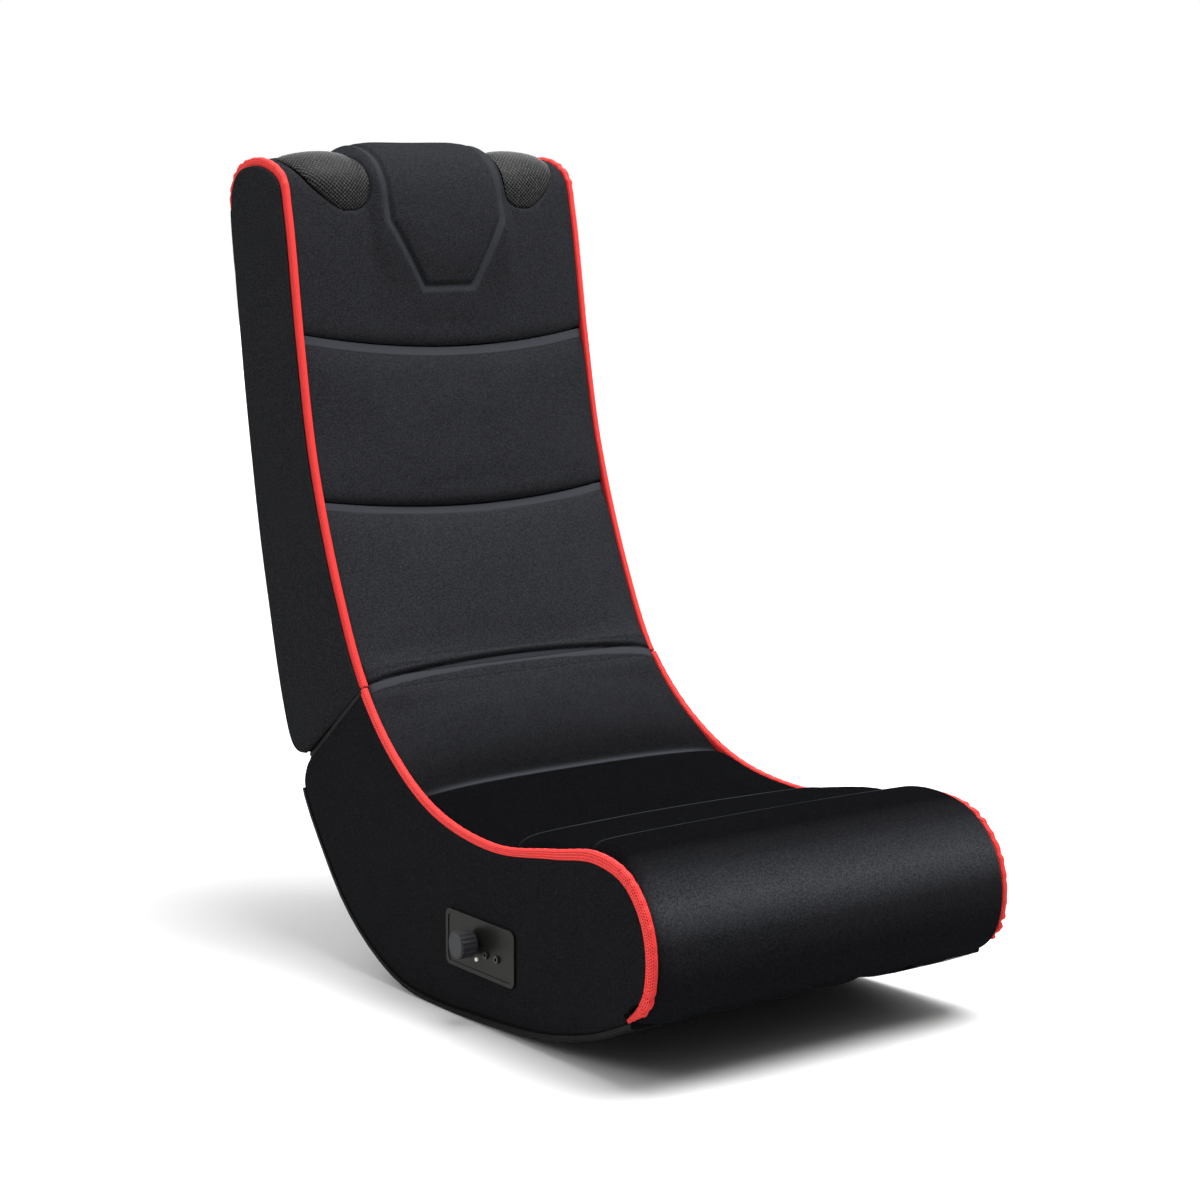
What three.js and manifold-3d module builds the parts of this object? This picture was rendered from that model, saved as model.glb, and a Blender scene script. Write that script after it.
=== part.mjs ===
// Folding floor rocker chair with speakers in its headrest.
//
// Millimetres, +Z up. The sitter faces -Y and X runs across, so the sitter's right-hand side is -X.
// The origin is on the floor under the middle of the chair. Side views are drawn in (y, z).
// The seat stands on two curved rails, and the back folds forward on two hinges in the lowest channel.
import * as THREE from "three";
import { mergeVertices } from "three/addons/utils/BufferGeometryUtils.js";
import Module from "manifold-3d";

const wasm = await Module();
wasm.setup();

// Driving dimensions
const DEPTH = 716; // front of the roll to the rear of the headrest
const EDGE_HEIGHT = 786; // floor to the top of the side edges
const ROLL_WIDTH = 420; // across the front roll, the widest place
const FOLD_WIDTH = 361; // across the seat at the fold line
const BACK_FOLD_WIDTH = 358; // across the back at the fold line
const TOP_WIDTH = 351; // across the top of the headrest
const GAP = 0.3; // clearance between pieces that touch
const OVERRUN = 6; // how far a cutter passes the face that it cuts
const WELD = 1e-4; // corners nearer than this are one

// Walls and layers, counted inwards from the cushion edge line
const COVER = 3; // side cover: knit fabric on thin foam
const SEAT_BOARD = 15; // plywood side boards of the seat
const BACK_BOARD = 9; // the back has lighter ones
const DECK = 3; // hardboard under the pads
const SEAT_PAD = 26; // edge line down to the seat's deck
const BACK_PAD = 18; // edge line down to the back's deck
const DECK_RISE = 118; // the back's deck passes its upper channel by this and stops under the top corner
const LINER = 2; // cloth under the seat and behind the back
const RAIL_THICK = 6; // rocker rails
const RAIL_WIDTH = 65;

// Edge piping between the pads and the side covers
const PIPING_WIDTH = 7;
const PIPING_RISE = 2.5; // above the edge line
const PIPING_DROP = 8; // below the edge line
const PIPING_OUT = 1.2; // past the side cover

// Cushion forms
const CROWN = 11; // rise of a pad's middle above the edge line
const CHANNEL_CROWN = 5; // the same along a channel
const CHANNEL_DEPTH = 5; // below the edge line, at the piping
const CHANNEL_WIDTH = 7;
const ROLL_CROWN = 7;
const HEAD_CROWN = 17; // the headrest's middle stands higher than the pads below it
const HEAD_SIDE_CROWN = 8; // beside the shield
const HEAD_SLOPE = 14; // across the slope between the two
const HEAD_FADE = 110; // over this distance its crown runs out behind the top
const SHIELD = { bottom: 44, shoulder: 114, low: 33, high: 74 }; // heights above the channel, half widths
const SHIELD_GROOVE = 5;
const SHIELD_GROOVE_WIDTH = 9;

// Sewn channels, as shares of the edge line from the fold: up the back, and down the seat
const BACK_CHANNEL_SHARES = [0.28, 0.535];
const SEAT_CHANNEL_SHARES = [0.216, 0.449, 0.641];

// Fold hinge
const AXIS_RISE = 3; // the axis lies just above the edge line, so the halves open like a book
const FOLD_CHANNEL_HALF = 5; // from the seam to the pads beside it
const KNUCKLE_RADIUS = 4.5;
const PIN_RADIUS = 2.4;
const LEAF_THICK = 1.8;
const LEAF_LENGTH = 62;
const LEAF_WIDTH = 66;
const KNUCKLES = 3;
const HINGE_INSET = 15; // from the seat's side boards to the leaves
const FACING = 1.6; // cloth over the two seam faces
const SEAM_GAP = 0.8; // between the two facings when the chair is open

// Cross rails, plywood battens between the side boards
const BATTEN = 15;
const BATTEN_DEPTH = 36;
const FRONT_BOARD = 22; // thickness of the upright board behind the roll's foam core

// Speakers: round the top corner, measured from the headrest's shoulder
const SPEAKER_INSET = 52; // from the headrest's side
const SPEAKER_UP = 57;
const CUP_RADIUS = 28;
const CUP_DEPTH = 32;
const CUP_SINK = 12; // from the edge line to the cup's rim
const CUP_WALL = 2;
const CONE_RADIUS = 22;
const CONE_DEPTH = 10;
const CONE_NECK = 7;
const MAGNET_RADIUS = 14;
const GRILLE_REACH = 43; // from its middle to its ends, round the corner
const GRILLE_SPAN = 38; // from its middle to its sides
const GRILLE_THICK = 2.5;
const GRILLE_BULGE = 5;
// The teardrop: share of the reach, from the low end up, then of the span at its inner and outer sides
const GRILLE_SHARES = [
  [-1, -0.61, -0.24], [-0.93, -0.84, -0.08], [-0.78, -1, 0.16], [-0.5, -1.08, 0.5], [-0.32, -1.09, 0.67],
  [-0.1, -1.08, 0.81], [0.2, -1.03, 0.92], [0.55, -0.95, 0.97], [0.8, -0.82, 0.92], [0.94, -0.63, 0.82],
  [1, -0.42, 0.63],
];
const GRILLE_ACROSS_SHARES = [-1, -0.85, -0.5, 0, 0.5, 0.85, 1];

// Control plate on the sitter's right
const PLATE_BACK = 268; // from the front of the roll
const PLATE_HEIGHT = 75; // from the floor
const PLATE = { width: 116, height: 53, corner: 7, thick: 2.2 };
const PLATE_RIM = { width: 4, depth: 0.7 };
const WINDOW = { width: 74, height: 38 }; // through the side cover and the board
const AMP = { width: 98, height: 46, depth: 30 };
const KNOB = { forward: -9.5, up: 3, radius: 13, tip: 12, length: 17, flute: 0.9, skirt: 2, socket: 10 };
const FLUTES = 18;
const FLUTE_STEPS = 4;
const SHAFT_RADIUS = 3;
const BUSH = { radius: 4.6, proud: 2.4 };
const JACK = { radius: 3.4, bore: 1.8, proud: 1.4, up: -4.6 };
const JACK_FORWARD = { input: 11, output: 29.5 };
const LIGHT = { radius: 1.8, proud: 1, forward: -4.6, up: -12 };

// Finishes
const finish = (color, roughness, metalness = 0) =>
  new THREE.MeshStandardMaterial({ color, roughness, metalness });
const KNIT = finish(0x2c2d31, 0.85);
const SIDE_KNIT = finish(0x1a1a1b, 0.9);
const PIPING_RED = finish(0xe0383a, 0.8);
const LINING = finish(0x151516, 0.95);
const FOAM = finish(0xd9d2b8, 0.95);
const GREYBOARD = finish(0x8f877a, 0.9);
const GRILLE_BLACK = finish(0x101011, 0.7);
const PLYWOOD = finish(0xc9a777, 0.8);
const HARDBOARD = finish(0x7a5636, 0.85);
const STEEL = finish(0xb9bcc0, 0.35, 1);
const RAIL_PLASTIC = finish(0x111112, 0.55);
const PLATE_PLASTIC = finish(0x1c1c18, 0.25);
const KNOB_RUBBER = finish(0x222326, 0.7);
const PAPER_CONE = finish(0x2a2a2a, 0.9);
const LIGHT_WHITE = finish(0xf2f2ea, 0.3);

const root = new THREE.Group();

// Curves of the side view, as shares of the depth from the front and of the edge height
const BACK_EDGE_SHARES = [
  [0.994, 0.929], [0.997, 0.957], [0.976, 0.989], [0.918, 1], [0.866, 0.98], [0.851, 0.935], [0.824, 0.779],
  [0.791, 0.626], [0.73, 0.468],
];
const FOLD_SHARES = [0.668, 0.359];
const SEAT_EDGE_SHARES = [
  [0.587, 0.286], [0.486, 0.238], [0.346, 0.22], [0.214, 0.237], [0.116, 0.251], [0.053, 0.238],
  [0.014, 0.201], [0, 0.153], [0.011, 0.103], [0.047, 0.077],
];
const REAR_SHARES = [
  [0.994, 0.929], [0.98, 0.827], [0.962, 0.712], [0.934, 0.56], [0.905, 0.439], [0.874, 0.326],
  [0.851, 0.272], [0.837, 0.262], [0.814, 0.262],
];
const BASE_SHARES = [
  [0.812, 0.265], [0.833, 0.25], [0.845, 0.222], [0.838, 0.2], [0.786, 0.135], [0.73, 0.079], [0.665, 0.038],
  [0.584, 0.008], [0.492, 0.0003], [0.37, 0.005], [0.235, 0.0165], [0.123, 0.041], [0.042, 0.071],
];
const RAIL_END_SHARE = 0.075; // of the base line, where the rails end under the rear
const FLOOR_CUT = 1; // depth of the flat that the rails stand on

// Pieces that lie on one line share its stations, one for each turn or run of the line
const STATION_TURN = THREE.MathUtils.degToRad(10);
const STATION_RUN = 21;

// A line of the side view that is measured along its length; side +1 has its outside on the left
class Line {
  constructor(shares, side, start = 0, drop = 0) {
    const at = ([y, z]) => new THREE.Vector3(0, (y - 0.5) * DEPTH, z * EDGE_HEIGHT - drop);
    this.curve = new THREE.CatmullRomCurve3(shares.map(at), false, "centripetal");
    this.curve.arcLengthDivisions = 400;
    this.side = side;
    this.length = this.curve.getLength();
    const lengths = this.curve.getLengths();
    this.zero = lengths[Math.round((start / (shares.length - 1)) * (lengths.length - 1))];
    this.stations = [this.zero];
    let kept = this.at(this.zero);
    for (let i = 1; i < lengths.length; i++) {
      const distance = this.zero - (this.length * i) / lengths.length;
      const f = this.at(distance);
      const turned = Math.acos(Math.min(1, f.ny * kept.ny + f.nz * kept.nz));
      if (turned < STATION_TURN && this.stations.at(-1) - distance < STATION_RUN) continue;
      this.stations.push(distance);
      kept = f;
    }
  }
  // Point and outward normal at a distance from the line's zero, counted back towards its start
  at(distance) {
    const u = THREE.MathUtils.clamp((this.zero - distance) / this.length, 0, 1);
    const p = this.curve.getPointAt(u);
    const t = this.curve.getTangentAt(u);
    return { y: p.y, z: p.z, ny: this.side * t.z, nz: -this.side * t.y };
  }
  // The two distances and the stations between them, in order
  between(from, to, extra = []) {
    const [low, high] = [Math.min(from, to), Math.max(from, to)];
    const inner = [...this.stations, ...extra].filter((d) => d > low + GAP && d < high - GAP);
    const sorted = [...inner, low, high].sort((a, b) => a - b);
    const order = sorted.filter((d, i) => !i || d - sorted[i - 1] > GAP);
    return from < to ? order : order.reverse();
  }
  // Points at a depth inside the line, without those that would step back round a tight curve
  inside(depth, from, to) {
    const way = Math.sign(to - from) * this.side;
    const points = [];
    for (const distance of this.between(from, to)) {
      const f = this.at(distance);
      const p = new THREE.Vector2(f.y - f.ny * depth, f.z - f.nz * depth);
      const last = points.at(-1);
      if (!last || way * ((p.x - last.x) * f.nz - (p.y - last.y) * f.ny) > GAP) points.push(p);
    }
    return points;
  }
}
const edge = new Line([...BACK_EDGE_SHARES, FOLD_SHARES, ...SEAT_EDGE_SHARES], 1, BACK_EDGE_SHARES.length);
const rear = new Line(REAR_SHARES, -1);
const base = new Line(BASE_SHARES, -1, 0, FLOOR_CUT);
const BACK_END = edge.zero;
const SEAT_END = edge.zero - edge.length;
const [lower, upper] = BACK_CHANNEL_SHARES.map((share) => share * BACK_END);
const [rearChannel, middleChannel, rollChannel] = SEAT_CHANNEL_SHARES.map((share) => share * SEAT_END);

// The seam runs from the fold axis to the rear of the back's underside
const fold = edge.at(0);
const AXIS = new THREE.Vector2(fold.y + fold.ny * AXIS_RISE, fold.z + fold.nz * AXIS_RISE);
const seamEnd = rear.at(-rear.length);
const SEAM_END = new THREE.Vector2(seamEnd.y, seamEnd.z);
const SEAM_LENGTH = AXIS.distanceTo(SEAM_END);
const ALONG = SEAM_END.clone().sub(AXIS).normalize();
const ACROSS = new THREE.Vector2(-ALONG.y, ALONG.x); // towards the back
const SEAM_ANGLE = Math.atan2(ALONG.y, ALONG.x);
const onSeam = (depth, offset) =>
  AXIS.clone().addScaledVector(ALONG, depth).addScaledVector(ACROSS, offset);

// Half widths: both halves are flat-sided, and flare or taper along their length
const FLARE = (ROLL_WIDTH - FOLD_WIDTH) / 2 / (fold.y + DEPTH / 2);
const TAPER = (BACK_FOLD_WIDTH - TOP_WIDTH) / 2 / (EDGE_HEIGHT - fold.z);
const seatHalf = (y) => FOLD_WIDTH / 2 + FLARE * (fold.y - y);
const backHalf = (y, z) => BACK_FOLD_WIDTH / 2 - TAPER * (z - fold.z);
const halfAt = (half, f, height) => half(f.y + f.ny * height, f.z + f.nz * height);

// Solids and meshes
const bare = (geometry) => {
  const g = geometry.clone();
  g.deleteAttribute("normal");
  g.deleteAttribute("uv");
  return mergeVertices(g, WELD);
};
function volumeOf(g) {
  const p = g.attributes.position;
  const [a, b, c] = [new THREE.Vector3(), new THREE.Vector3(), new THREE.Vector3()];
  let sum = 0;
  for (let i = 0; i < g.index.count; i += 3) {
    a.fromBufferAttribute(p, g.index.getX(i));
    b.fromBufferAttribute(p, g.index.getX(i + 1));
    c.fromBufferAttribute(p, g.index.getX(i + 2));
    sum += a.dot(b.cross(c));
  }
  return sum;
}
function outward(geometry) {
  const g = bare(geometry);
  if (volumeOf(g) < 0) {
    const index = g.index.array;
    for (let i = 0; i < index.length; i += 3) [index[i + 1], index[i + 2]] = [index[i + 2], index[i + 1]];
  }
  return g;
}
function solid(geometry) {
  const g = outward(geometry);
  return new wasm.Manifold(
    new wasm.Mesh({
      numProp: 3,
      vertProperties: new Float32Array(g.attributes.position.array),
      triVerts: new Uint32Array(g.index.array),
    }),
  );
}
function shapeOf(made) {
  const m = made.getMesh();
  const g = new THREE.BufferGeometry();
  g.setAttribute("position", new THREE.BufferAttribute(new Float32Array(m.vertProperties), 3));
  g.setIndex(new THREE.BufferAttribute(new Uint32Array(m.triVerts), 1));
  return g;
}
const cut = (geometry, ...cutters) =>
  shapeOf(cutters.reduce((made, cutter) => made.subtract(solid(cutter)), solid(geometry)));
const join = (geometry, ...others) =>
  shapeOf(others.reduce((made, other) => made.add(solid(other)), solid(geometry)));
function add(name, geometry, material, group = root) {
  const flat = outward(geometry).toNonIndexed();
  flat.computeVertexNormals();
  const mesh = new THREE.Mesh(flat, material);
  mesh.name = name;
  group.add(mesh);
  return mesh;
}
function moved(geometry, x, y, z) {
  return geometry.clone().translate(x, y, z);
}

// A side-view outline given a width: low and high are functions of (y, z) that return x
function slab(outline, low, high) {
  const g = new THREE.ExtrudeGeometry(new THREE.Shape(outline), { depth: 1, bevelEnabled: false });
  const p = g.attributes.position;
  for (let i = 0; i < p.count; i++) {
    const [y, z, share] = [p.getX(i), p.getY(i), p.getZ(i)];
    p.setXYZ(i, low(y, z) + (high(y, z) - low(y, z)) * share, y, z);
  }
  return g;
}
// A plate that lies at a depth inside one side; side is -1 on the sitter's right
const plate = (outline, half, depth, thick, side) =>
  slab(
    outline,
    (y, z) => side * (half(y, z) - depth - thick),
    (y, z) => side * (half(y, z) - depth),
  );
const across = (outline, half, inset) =>
  slab(
    outline,
    (y, z) => inset - half(y, z),
    (y, z) => half(y, z) - inset,
  );

// A closed body through sections: each station has a frame on a line and a section of (x, height) points
function loft(stations) {
  const n = stations[0].section.length;
  if (THREE.ShapeUtils.isClockWise(stations[0].section)) for (const s of stations) s.section.reverse();
  const position = stations.flatMap(({ frame, section }) =>
    section.flatMap((q) => [q.x, frame.y + frame.ny * q.y, frame.z + frame.nz * q.y]),
  );
  const index = [];
  for (let i = 0; i + 1 < stations.length; i++)
    for (let j = 0; j < n; j++) {
      const [a, b] = [i * n + j, i * n + ((j + 1) % n)];
      index.push(a, b, b + n, a, b + n, a + n);
    }
  const last = (stations.length - 1) * n;
  for (const [a, b, c] of THREE.ShapeUtils.triangulateShape(stations[0].section, [])) index.push(c, b, a);
  for (const [a, b, c] of THREE.ShapeUtils.triangulateShape(stations.at(-1).section, []))
    index.push(last + a, last + b, last + c);
  const g = new THREE.BufferGeometry();
  g.setAttribute("position", new THREE.Float32BufferAttribute(position, 3));
  g.setIndex(index);
  return g;
}
// Stations along a line with one section function
function sweep(line, from, to, section, extra) {
  return loft(
    line.between(from, to, extra).map((distance) => {
      const frame = line.at(distance);
      return { frame, section: section(frame, distance) };
    }),
  );
}
const eased = (f) => (1 - Math.cos(Math.PI * f)) / 2;

// Everything on the far side of the seam, from an offset outwards; way is +1 to cut away the back's side
function beyondSeam(offset, way) {
  const reach = DEPTH + EDGE_HEIGHT;
  const box = [
    onSeam(-reach, offset), onSeam(reach, offset),
    onSeam(reach, offset + way * reach), onSeam(-reach, offset + way * reach),
  ];
  return slab(box, () => -ROLL_WIDTH, () => ROLL_WIDTH);
}
const trimSeat = (geometry, offset) => cut(geometry, beyondSeam(-offset, 1));
const trimBack = (geometry, offset) => cut(geometry, beyondSeam(offset, -1));

// Outlines in the side view
const PAST_FOLD = 3 * OVERRUN; // a piece runs on past the seam before it is trimmed there
const REAR_START = -2 * GAP; // just below the pad that wraps over the top
const BASE_START = -base.length;
const seatOutline = (edgeDepth, baseDepth) => [
  ...edge.inside(edgeDepth, PAST_FOLD, SEAT_END),
  ...base.inside(baseDepth, BASE_START + OVERRUN, 0),
];
const backOutline = (edgeDepth, rearDepth) => [
  ...edge.inside(edgeDepth, -PAST_FOLD, BACK_END),
  ...rear.inside(rearDepth, REAR_START, -rear.length),
];

// Side boards, side covers
const UNDER_DECK = DECK + 3 * GAP;
const COVER_TOP = PIPING_DROP + GAP;
const BASE_COVER = RAIL_THICK + GAP; // the side covers stop on the rails
const BASE_BOARD = BASE_COVER + LINER + GAP;
const SEAM_FACE = SEAM_GAP / 2;
const SEAM_BOARD = SEAM_FACE + FACING + GAP;
const SEAM_BATTEN = SEAM_BOARD + LEAF_THICK + GAP;
const BOARD_INSET = COVER + GAP;
const SEAT_CORE = BOARD_INSET + SEAT_BOARD + GAP;
const BACK_CORE = BOARD_INSET + BACK_BOARD + GAP;
const SIDES = [["right", -1], ["left", 1]];

// The control panel's frame: local +Z points out of the side, +Y up and +X towards the front
const panel = new THREE.Group();
const outwardNormal = new THREE.Vector3(-1, FLARE, 0).normalize();
const up = new THREE.Vector3(0, 0, 1);
const towardsFront = up.clone().cross(outwardNormal);
const plateAt = PLATE_BACK - DEPTH / 2;
panel.position.set(-seatHalf(plateAt), plateAt, PLATE_HEIGHT);
panel.quaternion.setFromRotationMatrix(new THREE.Matrix4().makeBasis(towardsFront, up, outwardNormal));
root.add(panel);
panel.updateMatrixWorld(true);
const windowDepth = 2 * (BOARD_INSET + SEAT_BOARD + OVERRUN);
const windowCut = new THREE.BoxGeometry(WINDOW.width, WINDOW.height, windowDepth);
windowCut.applyMatrix4(panel.matrixWorld);

const seatBoardOutline = seatOutline(SEAT_PAD + UNDER_DECK, BASE_BOARD);
const backBoardOutline = backOutline(BACK_PAD + UNDER_DECK, LINER + GAP);
for (const [word, side] of SIDES) {
  let board = plate(seatBoardOutline, seatHalf, BOARD_INSET, SEAT_BOARD, side);
  let cover = plate(seatOutline(COVER_TOP, BASE_COVER), seatHalf, 0, COVER, side);
  board = trimSeat(board, SEAM_BOARD);
  cover = trimSeat(cover, SEAM_FACE);
  if (side < 0) [board, cover] = [cut(board, windowCut), cut(cover, windowCut)];
  add(`seat_side_board_${word}`, board, PLYWOOD);
  add(`seat_side_cover_${word}`, cover, SIDE_KNIT);
  const backBoard = plate(backBoardOutline, backHalf, BOARD_INSET, BACK_BOARD, side);
  const backCover = plate(backOutline(COVER_TOP, 0), backHalf, 0, COVER, side);
  add(`back_side_board_${word}`, trimBack(backBoard, SEAM_BOARD), PLYWOOD);
  add(`back_side_cover_${word}`, trimBack(backCover, SEAM_FACE), SIDE_KNIT);
}

// Flat sheets that run across the chair along a line, between two depths
const sheet = (line, from, to, half, inset, top, bottom) =>
  sweep(line, from, to, (f) => {
    const [low, high] = [halfAt(half, f, -bottom) - inset, halfAt(half, f, -top) - inset];
    return [
      new THREE.Vector2(-low, -bottom), new THREE.Vector2(low, -bottom),
      new THREE.Vector2(high, -top), new THREE.Vector2(-high, -top),
    ];
  });
const ACROSS_INSET = COVER + GAP;
const deck = (from, to, half, pad) =>
  sheet(edge, from, to, half, ACROSS_INSET, pad + 2 * GAP, pad + 2 * GAP + DECK);
const seatDeck = deck(PAST_FOLD, rollChannel + GAP, seatHalf, SEAT_PAD);
const backDeck = deck(-PAST_FOLD, upper + DECK_RISE, backHalf, BACK_PAD);
add("seat_deck", trimSeat(seatDeck, SEAM_BATTEN), HARDBOARD);
add("back_deck", trimBack(backDeck, SEAM_BATTEN), GREYBOARD);
// What lies above the decks' undersides is cut away from the rails that carry them
const overSeat = sheet(edge, PAST_FOLD, SEAT_END, seatHalf, -PIPING_WIDTH, -CROWN, SEAT_PAD + UNDER_DECK);
const overBack = sheet(edge, -PAST_FOLD, upper, backHalf, -PIPING_WIDTH, -CROWN, BACK_PAD + UNDER_DECK);
// Linings: under the seat and up its rear, and behind the back
const seatLining = sheet(base, BASE_START, 0, seatHalf, ACROSS_INSET, BASE_COVER, BASE_COVER + LINER);
add("seat_base_lining", trimSeat(seatLining, SEAM_FACE), LINING);
const backLining = sheet(rear, REAR_START, -rear.length, backHalf, ACROSS_INSET, 0, LINER);
add("back_rear_cover", trimBack(backLining, SEAM_FACE), SIDE_KNIT);
// What lies outside the linings' inner face is cut away from the pieces that end on it
const underSeat = sheet(base, BASE_START, 0, seatHalf, -PIPING_WIDTH, -RAIL_WIDTH, BASE_BOARD);

// Rocker rails: strips with rounded edges under each side, flat where they stand on the floor
const RAIL_EDGE = 2;
for (const [word, side] of SIDES) {
  const rail = sweep(base, BASE_START, -base.length * RAIL_END_SHARE, (f) => {
    const low = Math.min(0, f.z / Math.max(-f.nz, RAIL_EDGE / RAIL_WIDTH));
    return [
      [0, -RAIL_THICK], [0, low - RAIL_EDGE], [RAIL_EDGE, low],
      [RAIL_WIDTH - RAIL_EDGE, low], [RAIL_WIDTH, low - RAIL_EDGE], [RAIL_WIDTH, -RAIL_THICK],
    ].map(([inset, h]) => new THREE.Vector2(side * (halfAt(seatHalf, f, h) - inset), h));
  });
  add(`rocker_rail_${word}`, rail, RAIL_PLASTIC);
}

// Piping: a rounded band along both edges, split at the fold
const PIPING_SIDES = 8;
const pipingSection = Array.from({ length: PIPING_SIDES }, (_, i) => {
  const a = ((i + 0.5) / PIPING_SIDES) * 2 * Math.PI;
  const round = 1 / Math.cos(Math.PI / PIPING_SIDES);
  const [rx, rh] = [((PIPING_WIDTH + PIPING_OUT) / 2) * round, ((PIPING_RISE + PIPING_DROP) / 2) * round];
  const [cx, ch] = [(PIPING_OUT - PIPING_WIDTH) / 2, (PIPING_RISE - PIPING_DROP) / 2];
  return [cx + rx * Math.cos(a), ch + rh * Math.sin(a)];
});
for (const [word, side] of SIDES) {
  const band = (half) => (f) =>
    pipingSection.map(([x, h]) => new THREE.Vector2(side * (halfAt(half, f, h) + x), h));
  const onSeat = sweep(edge, PAST_FOLD, SEAT_END, band(seatHalf));
  const onBack = sweep(edge, -PAST_FOLD, BACK_END, band(backHalf));
  add(`seat_piping_${word}`, cut(trimSeat(onSeat, SEAM_FACE), underSeat), PIPING_RED);
  add(`back_piping_${word}`, trimBack(onBack, SEAM_FACE), PIPING_RED);
}

// Pads: crowned blocks whose sides draw in under the piping and whose ends dip into the channels
const PAD_ROUND = 22; // over this distance a pad rises from its channel
const PAD_COLUMNS = 12;
const PAD_END_SHARES = [0.12, 0.36, 0.75]; // of that distance, where extra sections round the end
const SHOULDER = PIPING_DROP + 3 * GAP;
const rise = (distance) => {
  const f = THREE.MathUtils.clamp(distance / PAD_ROUND, 0, 1);
  return Math.sqrt(1 - (1 - f) ** 2);
};
function padSection(f, half, depth, columns, top) {
  const wide = (height) => halfAt(half, f, height) - COVER - 2 * GAP;
  const narrow = (height) => halfAt(half, f, height) - PIPING_WIDTH - 2 * GAP;
  const crest = columns.map((share) => {
    const x = share * narrow(0);
    return new THREE.Vector2(x, top(x, narrow(0)));
  });
  return [
    new THREE.Vector2(-wide(-depth), -depth), new THREE.Vector2(wide(-depth), -depth),
    new THREE.Vector2(wide(-SHOULDER), -SHOULDER), new THREE.Vector2(narrow(-SHOULDER), -SHOULDER),
    ...crest,
    new THREE.Vector2(-narrow(-SHOULDER), -SHOULDER), new THREE.Vector2(-wide(-SHOULDER), -SHOULDER),
  ];
}
const padColumns = Array.from({ length: PAD_COLUMNS + 1 }, (_, i) => 1 - 2 * eased(i / PAD_COLUMNS));
const domed = (share) => 1 - Math.abs(share) ** 3;
function pad(half, depth, from, to, crown = CROWN, start = CHANNEL_WIDTH / 2, end = CHANNEL_WIDTH / 2) {
  const way = Math.sign(to - from);
  const [first, last] = [from + way * start, to - way * end];
  const steps = PAD_END_SHARES.map((share) => way * share * PAD_ROUND);
  const rounding = steps.flatMap((step) => [first + step, last - step]);
  return sweep(
    edge, first, last,
    (f, distance) => {
      const lift = Math.min(rise(Math.abs(distance - first)), rise(Math.abs(last - distance)));
      return padSection(f, half, depth, padColumns, (x, narrow) => {
        const dome = domed(x / narrow);
        const [low, high] = [CHANNEL_CROWN * dome - CHANNEL_DEPTH, crown * dome];
        return low + (high - low) * lift;
      });
    },
    rounding,
  );
}
const lowestPad = pad(backHalf, BACK_PAD, 0, lower, CROWN, FOLD_CHANNEL_HALF);
const rearmostPad = pad(seatHalf, SEAT_PAD, 0, rearChannel, CROWN, FOLD_CHANNEL_HALF);
add("back_pad_lower", trimBack(lowestPad, SEAM_BATTEN), KNIT);
add("back_pad_upper", pad(backHalf, BACK_PAD, lower, upper), KNIT);
add("seat_pad_rear", trimSeat(rearmostPad, SEAM_BATTEN), KNIT);
add("seat_pad_middle", pad(seatHalf, SEAT_PAD, rearChannel, middleChannel), KNIT);
add("seat_pad_front", pad(seatHalf, SEAT_PAD, middleChannel, rollChannel), KNIT);
const roll = pad(seatHalf, SEAT_PAD, rollChannel, SEAT_END, ROLL_CROWN);
add("front_roll", cut(roll, underSeat), KNIT);

// Headrest: one pad from the upper channel over the top, with a shield drawn by a sewn groove
const HEAD_EDGE_SHARES = [1, 0.96, 0.88]; // of the half width, where its side rounds over
const headLength = BACK_END - upper;
const shieldHalf = (d) => {
  const share = THREE.MathUtils.clamp((d - SHIELD.bottom) / (SHIELD.shoulder - SHIELD.bottom), 0, 1);
  return SHIELD.low + (SHIELD.high - SHIELD.low) * share;
};
const groove = (distance) => Math.max(0, 1 - Math.abs(distance) / (SHIELD_GROOVE_WIDTH / 2));
function headTop(d, lift) {
  const inShield = d > SHIELD.bottom - SHIELD_GROOVE_WIDTH / 2;
  const fade = 1 - THREE.MathUtils.smoothstep(d, headLength - HEAD_FADE, headLength);
  const up = THREE.MathUtils.smoothstep(d, SHIELD.bottom, SHIELD.shoulder);
  return (x, narrow) => {
    const dome = domed(x / narrow) * fade;
    const middle = 1 - THREE.MathUtils.smoothstep(Math.abs(x), SHIELD.high, SHIELD.high + HEAD_SLOPE);
    const high = HEAD_SIDE_CROWN * dome + (HEAD_CROWN - HEAD_SIDE_CROWN) * middle * up * fade;
    const low = CHANNEL_CROWN * dome - CHANNEL_DEPTH;
    const line = groove(Math.abs(x) - shieldHalf(d));
    const foot = Math.abs(x) < shieldHalf(d) ? groove(d - SHIELD.bottom) : 0;
    const sewn = inShield ? Math.max(line * (d >= SHIELD.bottom), foot) : 0;
    return low + (high - low) * lift - SHIELD_GROOVE * sewn * lift;
  };
}
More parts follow.
